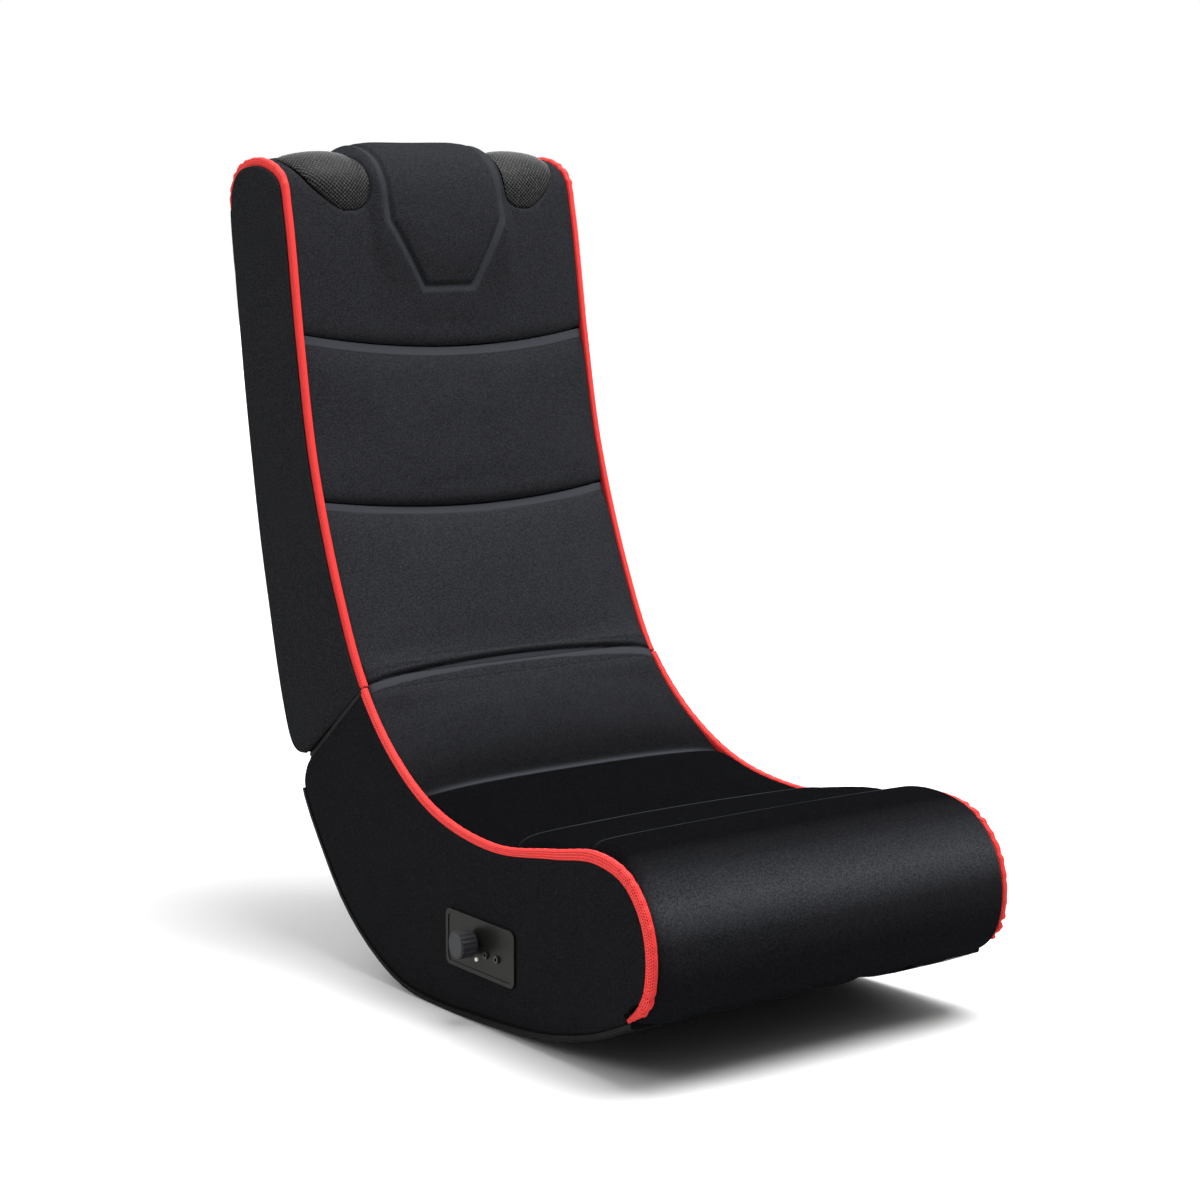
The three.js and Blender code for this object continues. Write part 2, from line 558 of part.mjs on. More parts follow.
function headrest() {
  const first = upper + CHANNEL_WIDTH / 2;
  const foot = [-1, 0, 1].map((share) => upper + SHIELD.bottom + (share * SHIELD_GROOVE_WIDTH) / 2);
  const steps = PAD_END_SHARES.map((share) => share * PAD_ROUND);
  const rounding = steps.flatMap((step) => [first + step, BACK_END - step]);
  return sweep(
    edge, first, BACK_END,
    (f, distance) => {
      const d = distance - upper;
      const lift = Math.min(rise(distance - first), rise(BACK_END - distance));
      const narrow = backHalf(f.y, f.z) - PIPING_WIDTH - 2 * GAP;
      const mark = shieldHalf(d) / narrow;
      const width = SHIELD_GROOVE_WIDTH / 2 / narrow;
      const side = [...HEAD_EDGE_SHARES, (1 + mark) / 2, mark + width, mark, mark - width];
      const columns = [...side, 0, ...side.map((share) => -share).reverse()];
      return padSection(f, backHalf, BACK_PAD, columns, headTop(d, lift));
    },
    [...foot, upper + SHIELD.shoulder, ...rounding],
  );
}

// Speakers stand in pockets at the two top corners, square to the corner's curve
const speakerAt = upper + SHIELD.shoulder + SPEAKER_UP;
const speakerX = TOP_WIDTH / 2 - SPEAKER_INSET;
const CORNER = edge.at(speakerAt);
const around = (profile, segments) =>
  new THREE.LatheGeometry(profile.map(([r, h]) => new THREE.Vector2(r, h)), segments).rotateX(Math.PI / 2);
const SPEAKER_SIDES = 24;
const cupTop = -CUP_SINK;
function speakerPlace(side) {
  const place = new THREE.Group();
  place.position.set(side * speakerX, CORNER.y, CORNER.z);
  place.rotation.x = Math.atan2(-CORNER.ny, CORNER.nz);
  root.add(place);
  place.updateMatrixWorld(true);
  return place;
}
const pocketRadius = CUP_RADIUS + GAP;
const pocket = new THREE.CylinderGeometry(pocketRadius, pocketRadius, 1, SPEAKER_SIDES).rotateX(Math.PI / 2);
function pocketCut(place) {
  const depth = CUP_DEPTH + GAP - cupTop;
  const g = pocket.clone().scale(1, 1, depth + BACK_PAD + HEAD_CROWN);
  return g.translate(0, 0, (BACK_PAD + HEAD_CROWN - depth) / 2).applyMatrix4(place.matrixWorld);
}
// Grilles: bulged sheets that follow the corner, let into the pad's cover
function grille(side, margin, under, over) {
  const stations = GRILLE_SHARES.map(([along, inner, outer]) => {
    const distance = speakerAt + along * (GRILLE_REACH + margin);
    const frame = edge.at(distance);
    const narrow = backHalf(frame.y, frame.z) - PIPING_WIDTH - 2 * GAP;
    const middle = speakerX + (GRILLE_SPAN * (inner + outer)) / 2;
    const half = (GRILLE_SPAN * (outer - inner)) / 2 + margin;
    const points = GRILLE_ACROSS_SHARES.map((share) => {
      const x = middle + half * share;
      const bulge = GRILLE_BULGE * (1 - along ** 2) * (1 - share ** 2);
      return { x: side * x, skin: headTop(distance - upper, 1)(x, narrow), bulge };
    });
    const top = points.map(({ x, skin, bulge }) => new THREE.Vector2(x, skin + over(bulge)));
    const bottom = points.map(({ x, skin, bulge }) => new THREE.Vector2(x, skin + under(bulge))).reverse();
    return { frame, section: [...top, ...bottom] };
  });
  return loft(stations);
}
const recess = (side) => grille(side, 2 * GAP, () => -GRILLE_THICK - 3 * GAP, () => 2 * GRILLE_BULGE);
const places = SIDES.map(([word, side]) => [word, speakerPlace(side)]);
const pockets = places.map(([, place]) => pocketCut(place));
const recesses = SIDES.map(([, side]) => recess(side));
add("headrest_pad", cut(headrest(), ...pockets, ...recesses), KNIT);
for (const [word, side] of SIDES) {
  const mesh = grille(side, 0, (bulge) => bulge - GRILLE_THICK, (bulge) => bulge + GAP);
  add(`speaker_mesh_${word}`, mesh, GRILLE_BLACK);
}
for (const [word, place] of places) {
  const floor = cupTop - CUP_DEPTH;
  const cup = around(
    [
      [0, floor], [CUP_RADIUS, floor], [CUP_RADIUS, cupTop], [CONE_RADIUS + GAP, cupTop],
      [CONE_RADIUS + GAP, cupTop - CUP_WALL], [CUP_RADIUS - CUP_WALL, cupTop - CUP_WALL],
      [CUP_RADIUS - CUP_WALL, floor + CUP_WALL], [0, floor + CUP_WALL],
    ],
    SPEAKER_SIDES,
  );
  add(`speaker_cup_${word}`, cup, GRILLE_BLACK, place);
  const rim = cupTop - CUP_WALL - GAP;
  const [flange, low] = [CONE_RADIUS + CUP_WALL, rim - CONE_DEPTH];
  const cone = around(
    [
      [0, low + CUP_WALL], [CONE_NECK, low], [CONE_RADIUS - CUP_WALL, rim - GAP], [flange, rim],
      [flange, rim - CUP_WALL / 2], [CONE_RADIUS - CUP_WALL, rim - CUP_WALL], [CONE_NECK, low - CUP_WALL],
      [0, low - CUP_WALL],
    ],
    SPEAKER_SIDES,
  );
  add(`speaker_cone_${word}`, cone, PAPER_CONE, place);
  const [foot, top] = [floor + CUP_WALL + GAP, low - CUP_WALL - GAP];
  const magnet = around(
    [[0, foot], [MAGNET_RADIUS, foot], [MAGNET_RADIUS, top - CUP_WALL], [CONE_NECK, top], [0, top]],
    SPEAKER_SIDES,
  );
  add(`speaker_magnet_${word}`, magnet, STEEL, place);
}

// Cross rails between the side boards, each a plank that is cut to what it meets
function plank(at, angle, half, inset, depth = BATTEN_DEPTH, thick = BATTEN) {
  const corner = (a, b) =>
    new THREE.Vector2((a * depth) / 2, (b * thick) / 2).rotateAround(new THREE.Vector2(), angle).add(at);
  return across([corner(-1, -1), corner(1, -1), corner(1, 1), corner(-1, 1)], half, inset);
}
function seamRail(way, half, pad, inset) {
  const depth = pad + DECK + AXIS_RISE + 3 * GAP + BATTEN_DEPTH / 2;
  return plank(onSeam(depth, way * (SEAM_BATTEN + BATTEN / 2)), SEAM_ANGLE, half, inset);
}
function deckRail(distance, half, pad, inset) {
  const f = edge.at(distance);
  const depth = pad + UNDER_DECK + BATTEN / 2;
  const at = new THREE.Vector2(f.y - f.ny * depth, f.z - f.nz * depth);
  return plank(at, Math.atan2(-f.ny, f.nz), half, inset);
}
add("seat_rear_rail", cut(seamRail(-1, seatHalf, SEAT_PAD, SEAT_CORE), overSeat), PLYWOOD);
add("back_lower_rail", cut(seamRail(1, backHalf, BACK_PAD, BACK_CORE), overBack), PLYWOOD);
add("back_middle_rail", deckRail(lower, backHalf, BACK_PAD, BACK_CORE), PLYWOOD);
add("back_upper_rail", deckRail(upper, backHalf, BACK_PAD, BACK_CORE), PLYWOOD);
add("seat_middle_rail", deckRail(middleChannel, seatHalf, SEAT_PAD, SEAT_CORE), PLYWOOD);
// The roll's foam core fills the curve of its pad, in front of an upright board from the lining to the deck
const roundFront = edge.inside(SEAT_PAD + GAP, rollChannel - OVERRUN, SEAT_END);
const coreBack = roundFront[0].x;
const coreFoot = base.inside(BASE_BOARD + GAP, BASE_START + OVERRUN, 0).filter((p) => p.x < coreBack);
const coreCorner = new THREE.Vector2(coreBack, coreFoot.at(-1).y);
add("front_roll_core", across([...roundFront, ...coreFoot, coreCorner], seatHalf, SEAT_CORE), FOAM);
const rollTop = edge.at(rollChannel).z;
const frontBoardAt = new THREE.Vector2(coreBack + GAP + FRONT_BOARD / 2, rollTop / 2);
const frontBoard = plank(frontBoardAt, Math.PI / 2, seatHalf, SEAT_CORE, rollTop, FRONT_BOARD);
add("seat_front_board", cut(frontBoard, overSeat, underSeat), PLYWOOD);

// Seam facings: cloth over the two faces that meet behind the fold
function facing(way, half) {
  const [low, high] = [way * SEAM_FACE, way * (SEAM_FACE + FACING)];
  const start = KNUCKLE_RADIUS + SEAT_PAD;
  const end = SEAM_LENGTH - LINER - RAIL_THICK;
  const outline = [onSeam(start, low), onSeam(end, low), onSeam(end, high), onSeam(start, high)];
  return across(outline, half, ACROSS_INSET);
}
add("seat_seam_facing", facing(-1, seatHalf), LINING);
add("back_seam_facing", facing(1, backHalf), LINING);

// Hinges: leaves on the two seam rails, with interleaved knuckles on one pin
const hingeFrame = new THREE.Group();
hingeFrame.position.set(0, AXIS.x, AXIS.y);
hingeFrame.rotation.x = SEAM_ANGLE;
root.add(hingeFrame);
const KNUCKLE_SIDES = 16;
const knuckleLength = LEAF_WIDTH / KNUCKLES;
const innerHalf = Math.min(FOLD_WIDTH / 2 - SEAT_CORE, BACK_FOLD_WIDTH / 2 - BACK_CORE);
const hingeX = innerHalf - HINGE_INSET - LEAF_WIDTH / 2;
const tube = (radius, length) =>
  new THREE.CylinderGeometry(radius, radius, length, KNUCKLE_SIDES).rotateZ(Math.PI / 2);
function leaf(way, centre, own) {
  const [near, far] = [SEAM_BOARD, SEAM_BOARD + LEAF_THICK];
  const flat = new THREE.BoxGeometry(LEAF_WIDTH, LEAF_LENGTH, LEAF_THICK);
  flat.translate(centre, LEAF_LENGTH / 2, (way * (near + far)) / 2);
  const rolls = [];
  const clear = [];
  for (let k = 0; k < KNUCKLES; k++) {
    const x = centre + (k - (KNUCKLES - 1) / 2) * knuckleLength;
    if (k % 2 === own) rolls.push(moved(tube(KNUCKLE_RADIUS, knuckleLength - 2 * GAP), x, 0, 0));
    else {
      const room = 2 * (KNUCKLE_RADIUS + GAP);
      clear.push(moved(new THREE.BoxGeometry(knuckleLength, room, room), x, 0, 0));
    }
  }
  const bore = moved(tube(PIN_RADIUS + GAP, LEAF_WIDTH + 2 * OVERRUN), centre, 0, 0);
  return cut(join(cut(flat, ...clear), ...rolls), bore);
}
for (const [word, side] of SIDES) {
  const centre = side * hingeX;
  add(`seat_hinge_leaf_${word}`, leaf(-1, centre, 1), STEEL, hingeFrame);
  add(`back_hinge_leaf_${word}`, leaf(1, centre, 0), STEEL, hingeFrame);
  add(`hinge_pin_${word}`, moved(tube(PIN_RADIUS, LEAF_WIDTH), centre, 0, 0), STEEL, hingeFrame);
}

// Controls on the panel's frame
function rounded(width, height, corner) {
  const s = new THREE.Shape();
  const [w, h] = [width / 2, height / 2];
  s.absarc(w - corner, h - corner, corner, 0, Math.PI / 2);
  s.absarc(corner - w, h - corner, corner, Math.PI / 2, Math.PI);
  s.absarc(corner - w, corner - h, corner, Math.PI, 1.5 * Math.PI);
  s.absarc(w - corner, corner - h, corner, 1.5 * Math.PI, 2 * Math.PI);
  return s;
}
const thickness = (shape, depth, curveSegments = 6) =>
  new THREE.ExtrudeGeometry(shape, { depth, bevelEnabled: false, curveSegments });
const ROUND_SIDES = 24;
function rod(radius, length, x, y, z) {
  const bar = new THREE.CylinderGeometry(radius, radius, length, ROUND_SIDES).rotateX(Math.PI / 2);
  return moved(bar, x, y, z + length / 2);
}
const knobAt = [KNOB.forward, KNOB.up];
const jackAt = Object.values(JACK_FORWARD).map((x) => [x, JACK.up]);
const lightAt = [LIGHT.forward, LIGHT.up];
const face = PLATE.thick + GAP;
const through = PLATE.thick + 2 * OVERRUN;
const hole = (radius, [x, y]) => rod(radius + GAP, through, x, y, GAP - OVERRUN);
const plateShape = (rim) => rounded(PLATE.width - 2 * rim, PLATE.height - 2 * rim, PLATE.corner - rim / 2);
const plateFace = cut(
  moved(thickness(plateShape(0), PLATE.thick), 0, 0, GAP),
  moved(thickness(plateShape(PLATE_RIM.width), OVERRUN), 0, 0, face - PLATE_RIM.depth),
  hole(BUSH.radius, knobAt), ...jackAt.map((at) => hole(JACK.radius, at)), hole(LIGHT.radius, lightAt),
);
add("control_plate", plateFace, PLATE_PLASTIC, panel);

// Amplifier box behind the board, with a nose through the window
const boardBack = -(COVER + SEAT_BOARD + 3 * GAP);
const clearWindow = 4 * GAP;
const noseBlock = new THREE.BoxGeometry(WINDOW.width - clearWindow, WINDOW.height - clearWindow, -boardBack);
const nose = moved(noseBlock, 0, 0, boardBack / 2);
const box = moved(new THREE.BoxGeometry(AMP.width, AMP.height, AMP.depth), 0, 0, boardBack - AMP.depth / 2);
add("amplifier_box", join(box, nose), RAIL_PLASTIC, panel);

// What stands on the nose passes through the plate's holes
const bushLength = face + BUSH.proud;
const bushBore = rod(SHAFT_RADIUS + GAP, bushLength + OVERRUN, ...knobAt, 2 * GAP);
add("volume_bush", cut(rod(BUSH.radius, bushLength, ...knobAt, GAP), bushBore), STEEL, panel);
const knobBase = bushLength + 2 * GAP;
const shaftLength = knobBase + KNOB.socket - 4 * GAP;
add("volume_shaft", rod(SHAFT_RADIUS, shaftLength, ...knobAt, 3 * GAP), STEEL, panel);
function knobOutline() {
  const s = new THREE.Shape();
  const steps = FLUTES * FLUTE_STEPS;
  for (let i = 0; i < steps; i++) {
    const a = (i / steps) * 2 * Math.PI;
    const r = KNOB.radius - (KNOB.flute * (1 - Math.cos(FLUTES * a))) / 2;
    if (i) s.lineTo(r * Math.cos(a), r * Math.sin(a));
    else s.moveTo(r * Math.cos(a), r * Math.sin(a));
  }
  return s;
}
const knobGrip = thickness(knobOutline(), KNOB.length - KNOB.skirt);
const knobBody = moved(knobGrip, ...knobAt, knobBase + KNOB.skirt / 2);
const capTop = KNOB.tip - KNOB.skirt / 2;
const capRound = new THREE.CylinderGeometry(capTop, KNOB.tip, KNOB.skirt, ROUND_SIDES).rotateX(Math.PI / 2);
const knobCap = moved(capRound, ...knobAt, knobBase + KNOB.length - KNOB.skirt / 2);
const knobFoot = rod(KNOB.tip, KNOB.skirt, ...knobAt, knobBase);
const socket = rod(SHAFT_RADIUS + GAP, KNOB.socket + OVERRUN, ...knobAt, knobBase - OVERRUN);
add("volume_knob", cut(join(knobBody, knobCap, knobFoot), socket), KNOB_RUBBER, panel);
Object.entries(JACK_FORWARD).forEach(([word, x]) => {
  const body = rod(JACK.radius, face + JACK.proud - GAP, x, JACK.up, GAP);
  const bore = rod(JACK.bore, face + JACK.proud, x, JACK.up, 2 * GAP);
  add(`${word}_jack`, cut(body, bore), GRILLE_BLACK, panel);
});
add("power_light", rod(LIGHT.radius, face + LIGHT.proud - GAP, ...lightAt, GAP), LIGHT_WHITE, panel);

export default root;
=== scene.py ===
"""Folding floor rocker chair with speakers in its headrest: the looks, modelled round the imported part.

Metres, +Z up. The sitter faces -Y, and +X is the sitter's left. Distances along the edge line start at the
fold between seat and back: they are positive up the back and negative out along the seat. The file is laid
out as an add-on and run as a script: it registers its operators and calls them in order."""
import math

import bpy
import numpy as np
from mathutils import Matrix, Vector


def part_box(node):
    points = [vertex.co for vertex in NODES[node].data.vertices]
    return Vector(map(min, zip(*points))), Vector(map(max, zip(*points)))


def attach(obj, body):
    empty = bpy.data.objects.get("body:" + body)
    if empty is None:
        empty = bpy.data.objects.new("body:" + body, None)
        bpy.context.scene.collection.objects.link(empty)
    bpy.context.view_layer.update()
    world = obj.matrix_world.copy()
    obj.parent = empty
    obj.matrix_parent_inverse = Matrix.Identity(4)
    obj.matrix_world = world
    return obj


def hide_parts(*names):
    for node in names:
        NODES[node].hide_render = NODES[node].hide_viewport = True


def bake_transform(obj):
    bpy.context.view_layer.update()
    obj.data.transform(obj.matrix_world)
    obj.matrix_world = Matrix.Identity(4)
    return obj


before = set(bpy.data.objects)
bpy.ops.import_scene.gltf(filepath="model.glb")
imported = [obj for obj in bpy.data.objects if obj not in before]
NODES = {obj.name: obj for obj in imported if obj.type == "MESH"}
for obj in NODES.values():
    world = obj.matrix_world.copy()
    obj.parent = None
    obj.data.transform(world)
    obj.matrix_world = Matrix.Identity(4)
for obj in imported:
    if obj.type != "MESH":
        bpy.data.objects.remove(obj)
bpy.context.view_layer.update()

bl_info = {
    "name": "Floor rocker chair",
    "version": (1, 0, 0),
    "blender": (4, 5, 0),
    "location": "3D View > Sidebar > Rocker chair",
    "description": "Models the upholstery, trim and finishes of a folding floor rocker chair",
    "category": "Add Mesh",
}

# Driving dimensions, as in the part
DEPTH = 0.716
EDGE_HEIGHT = 0.786
ROLL_WIDTH = 0.42
FOLD_WIDTH = 0.361
BACK_FOLD_WIDTH = 0.358
TOP_WIDTH = 0.351
GAP = 0.0003
COVER = 0.003
SEAT_PAD = 0.026
BACK_PAD = 0.018
RAIL_THICK = 0.006
AXIS_RISE = 0.003
FLOOR_CUT = 0.001
WELD = 0.00005  # points closer than this are one

# Pads and the channels sewn between them; a run is where something grows from nothing to its full size
CROWN = 0.011
ROLL_CROWN = 0.0085
CHANNEL_CROWN = 0.005
CHANNEL_DEPTH = 0.005
REACH = 0.045  # from a crease to the pad's full height
TUCK = 0.0045  # from a side's face to the pads' skin, under the piping
SEAM_HALF = 0.0005  # half the slit between two pads
KNUCKLE = 0.0052  # from the fold to the pads' ends, beside the hinge's knuckles
PAD_LAYERS = 4
CROWDING = 0.72  # share by which a pad's rows of points crowd towards its creases
HELD_RUN = (0.012, 0.03)  # off a crease, where the skin gets free to swell
HELD_SIDE_SHARE = 0.1
PRESSURE = 4
FRAMES = 20
SKIN_SHARES = (0.02, 0.2)  # of a pad's depth, where its skin ends
PAD_WAVE = 0.0006
CALM_RUN = (0.01, 0.03)
CALM_SIDE_SHARE = 0.15
LIP_RUN = (0.001, 0.014)
LIP_SHARP = 0.0012
LIP_SHINE = 400  # painted highlight for each metre of the ridge's rise
MOST_SHINE = 0.85
STITCH = 0.0006
STITCH_DEPTH = 0.0009
# A fine line of painted highlight along a pad's rear edge
EDGE_LINE_AT = 0.0135
EDGE_LINE_WIDTH = 0.0018
EDGE_LINE_SHINE = 0.6
LINE_SQUARE = 8  # how squarely a ridge or a line ends at the sides
HEM_DEPTH = 0.0035
HEM_RUN = (0.004, 0.03)
HEM_SCALLOPS = (10.5, 0.4)  # radians across half the roll, and at its middle

# The fold and the strip that lies in it
FOLD_BOW = 0.011  # rise of the fold's crease over the hinge in its middle
FOLD_EDGE = 14  # how squarely the skin ends at the sides
FOLD_RUN = (0.004, 0.03)
STRIP_START = -0.0105
STRIP_END = FOLD_BOW + 0.0115
STRIP_CREASE = 0.0012
STRIP_OVER = 0.0008  # above the skin of the pads
STRIP_ARCH = 0.0083
STRIP_ARCH_FALL = 12  # how fast the arch over the hinges falls away
STRIP_LIP = 0.0012
STRIP_LIP_RUN = (0.004, 0.009)
STRIP_TUCK = 0.0014
STRIP_HEM = 0.005
STRIP_INSET = 0.0055
STRIP_THICK = 0.0009
STRIP_STEP = 0.0006
# Runs of the strip's painted highlight below its crease and of the painted shade above it, then the painted
# shade over the whole strip
STRIP_SHINE_RUN = (-0.0085, -0.0078)
STRIP_DARK_RUN = (0.002, 0.008)
STRIP_PAINTED_SHADE = 0.45
BLEND_HALF = 0.004

# Headrest, its shield and its speakers
HEAD_CROWN = 0.017
HEAD_SIDE_CROWN = 0.008
HEAD_SLOPE = 0.014
HEAD_FADE = 0.11
HEAD_SINK = 0.04  # from the top end, where the channel's depth begins
HEAD_ROUND = 0.02
SHIELD = {"bottom": 0.044, "shoulder": 0.114, "low": 0.033, "high": 0.074}
SHIELD_STEP = 0.003
SHIELD_DOME = 0.02
SHINE_RUN = (-0.001, 0.002)
# Painted shade on the headrest's knit: distance, then share
HEAD_PAINTED_SHADE = ((0, 0.53),)
HEAD_PAST = 0.03  # the headrest's waves run on over its end
HOLLOW_RUN = (-0.002, 0.0015)
SPEAKER_INSET = 0.052
SPEAKER_UP = 0.057
GRILLE_REACH = 0.043
GRILLE_SPAN = 0.038
GRILLE_BULGE = 0.008
GRILLE_THICK = 0.0012

# Piping: its section, its gathers and how it narrows towards its ends
PIPING_RISE = 0.0025
PIPING_OUT = 0.0012
PIPING_FRONT = 0.0055
PIPING_FRONT_MORE = 0.0004
PIPING_FRONT_RUN = (0.2, 0.45)
PIPING_DROP = 0.0065
PIPING_ROLL_MORE = 0.0045
PIPING_ROLL_RUN = (0.25, 0.5)
PIPING_TOP_MORE = 0.0015
PIPING_TOP_RUN = (0.48, 0.54)
PIPING_SQUARE = 3.2
PIPING_ROUND = 0.006  # radius of a round band of the same girth, for the weave
PIPING_STEP = 0.002
PIPING_FOLD = 0.0006  # half the slit between the two bands at the fold
PIPING_SEAM_AT = 312  # degrees round the section
PIPING_SEAM_SHARE = 0.05
PIPING_BEND = 0.012
PIPING_GATHERS = (480, 790)
PIPING_GATHER_SHARES = {"seat": 1, "back": 0.4}
PIPING_CALM_RUN = (0.004, 0.03)
PIPING_PAST = -0.006  # past an end, where the band would run out
PIPING_END = {"seat": 0.034, "back": 0.012}  # from an end to the band's full width
PIPING_SINK = 0.0035
TUBE_SIDES = 28

# Side covers and the slanted seam
COVER_TUCK = 0.002
COVER_RUN = (0.002, 0.02)
COVER_EDGE = 0.004
COVER_END_SHARE = 0.6  # how soon the cover puffs out from the fold
COVER_WAVE = 0.0003
SEAT_COVER_PAINTED_SHADE = 0.4  # painted shade: how much darker the seat's covers are painted than the back's
PLATE_RUN = (0.001, 0.015)
FOOT_CROWDING = 1.15
FACING_START = 0.0245
FACING_CLEAR = 0.001
FACING_OFF = 0.0009
FACING_SAG = 0.0003
FACING_THICK = 0.001
BINDING_START = 0.006
BINDING_OVER = 0.0025
BINDING_STEP = 0.002
BINDING_SINK = 0.0008
BINDING_HALF = 0.0028
BINDING_SWELL = 0.0024
BINDING_SWELL_RUN = 0.012
BINDING_MORE = 0.001
BINDING_MORE_FROM = 0.03

# Cover behind the back, lining under the seat and the roll's core
SHEET_INSET = 0.0012
SHEET_STEP = 0.006
REAR_THICK = 0.0016
REAR_OUT = 0.001
REAR_TUCK = 0.0015
REAR_WAVE = 0.0006
LINING_THICK = 0.001
LINING_CLEAR = 0.0008
LINING_SAG = 0.0012
LINING_SAG_RUN = 0.03
LINING_TURN = 0.006
LINING_TURN_RUN = 0.012
CORE_CELL = 0.005

# Curves of the side view, as shares of the depth from the front and of the edge height
BACK_EDGE_SHARES = (
    (0.994, 0.929), (0.997, 0.957), (0.976, 0.989), (0.918, 1), (0.866, 0.98), (0.851, 0.935), (0.824, 0.779),
    (0.791, 0.626), (0.73, 0.468),
)
FOLD_SHARES = (0.668, 0.359)
SEAT_EDGE_SHARES = (
    (0.587, 0.286), (0.486, 0.238), (0.346, 0.22), (0.214, 0.237), (0.116, 0.251), (0.053, 0.238),
    (0.014, 0.201), (0, 0.153), (0.011, 0.103), (0.047, 0.077),
)
REAR_SHARES = (
    (0.994, 0.929), (0.98, 0.827), (0.962, 0.712), (0.934, 0.56), (0.905, 0.439), (0.874, 0.326),
    (0.851, 0.272), (0.837, 0.262), (0.814, 0.262),
)
BASE_SHARES = (
    (0.812, 0.265), (0.833, 0.25), (0.845, 0.222), (0.838, 0.2), (0.786, 0.135), (0.73, 0.079),
    (0.665, 0.038), (0.584, 0.008), (0.492, 0.0003), (0.37, 0.005), (0.235, 0.0165), (0.123, 0.041),
    (0.042, 0.071),
)
BACK_CHANNEL_SHARES = (0.28, 0.535)
SEAT_CHANNEL_SHARES = (0.216, 0.449, 0.641)
# The teardrop: share of the reach, from the low end up, then of the span at its inner and outer sides
GRILLE_SHARES = (
    (-1, -0.61, -0.24), (-0.93, -0.84, -0.08), (-0.78, -1, 0.16), (-0.5, -1.08, 0.5), (-0.32, -1.09, 0.67),
    (-0.1, -1.08, 0.81), (0.2, -1.03, 0.92), (0.55, -0.95, 0.97), (0.8, -0.82, 0.92), (0.94, -0.63, 0.82),
    (1, -0.42, 0.63),
)
# Profiles beside a crease: share of the reach from it, then of the pad's height
OVERHANG = ((0, 0), (0.02, 0.3), (0.06, 0.5), (0.15, 0.72), (0.3, 0.88), (0.6, 0.98), (1, 1))
STRIP = ((0, 0.1), (0.2, 0.3), (0.24, 0.36), (0.5, 0.8), (0.8, 0.97), (1, 1))
LIP = ((0, 0), (0.13, 0.1), (0.25, 0.27), (0.38, 0.5), (0.55, 0.78), (0.76, 0.95), (1, 1))
ROUND = ((0, 0), (0.03, 0.22), (0.09, 0.5), (0.2, 0.77), (0.4, 0.95), (0.6, 1), (1, 1))
EDGED = ((0, 0), (0.02, 0.4), (0.06, 0.7), (0.13, 0.91), (0.24, 1), (1, 1))
# Skin beside the fold: distance from it, then height
FOLD_SKIN = (
    (0.0045, 0.0048), (0.0055, 0.006), (0.008, 0.0076), (0.012, 0.0089), (0.02, 0.0101), (0.045, 0.011),
)
# Painted shade on the knit along the roll, leaving a painted highlight band across it, and on the rear pad:
# distance forward of the fold, then the share
ROLL_SHADE_AND_HIGHLIGHT = (
    (0.46, 1), (0.485, 0.8), (0.505, 0.4), (0.52, 0.05), (0.53, 0.15), (0.55, 0.7), (0.58, 0.85),
    (0.63, 0.85),
)
REAR_PAINTED_SHADE = ((0, 0.5), (0.075, 0.72), (0.11, 0.86), (0.13, 0.9))

# The photograph's camera: place, turn to the sitter's right, tilt down and lens
CAMERA_PLACE = (-1.7482, -2.2556, 0.79)
CAMERA_TURN = 38
CAMERA_TILT = 8.42
CAMERA_LENS = 90


# The side view's lines
def catmull(points, t):
    """Centripetal Catmull-Rom curve through the points, at values of t from 0 to 1."""
    p = np.array(points, float)
    ends = np.vstack([2 * p[0] - p[1], p, 2 * p[-1] - p[-2]])
    step = np.sqrt(np.linalg.norm(np.diff(ends, axis=0), axis=1))
    x = np.clip(t, 0, 1) * (len(p) - 1)
    i = np.minimum(x.astype(int), len(p) - 2)
    f = (x - i)[:, None]
    p0, p1, p2, p3 = (ends[i + k] for k in range(4))
    d0, d1, d2 = (step[i + k][:, None] for k in range(3))
    t1 = ((p1 - p0) / d0 - (p2 - p0) / (d0 + d1) + (p2 - p1) / d1) * d1
    t2 = ((p2 - p1) / d1 - (p3 - p1) / (d1 + d2) + (p3 - p2) / d2) * d1
    return p1 + t1 * f + (3 * (p2 - p1) - 2 * t1 - t2) * f**2 + (2 * (p1 - p2) + t1 + t2) * f**3


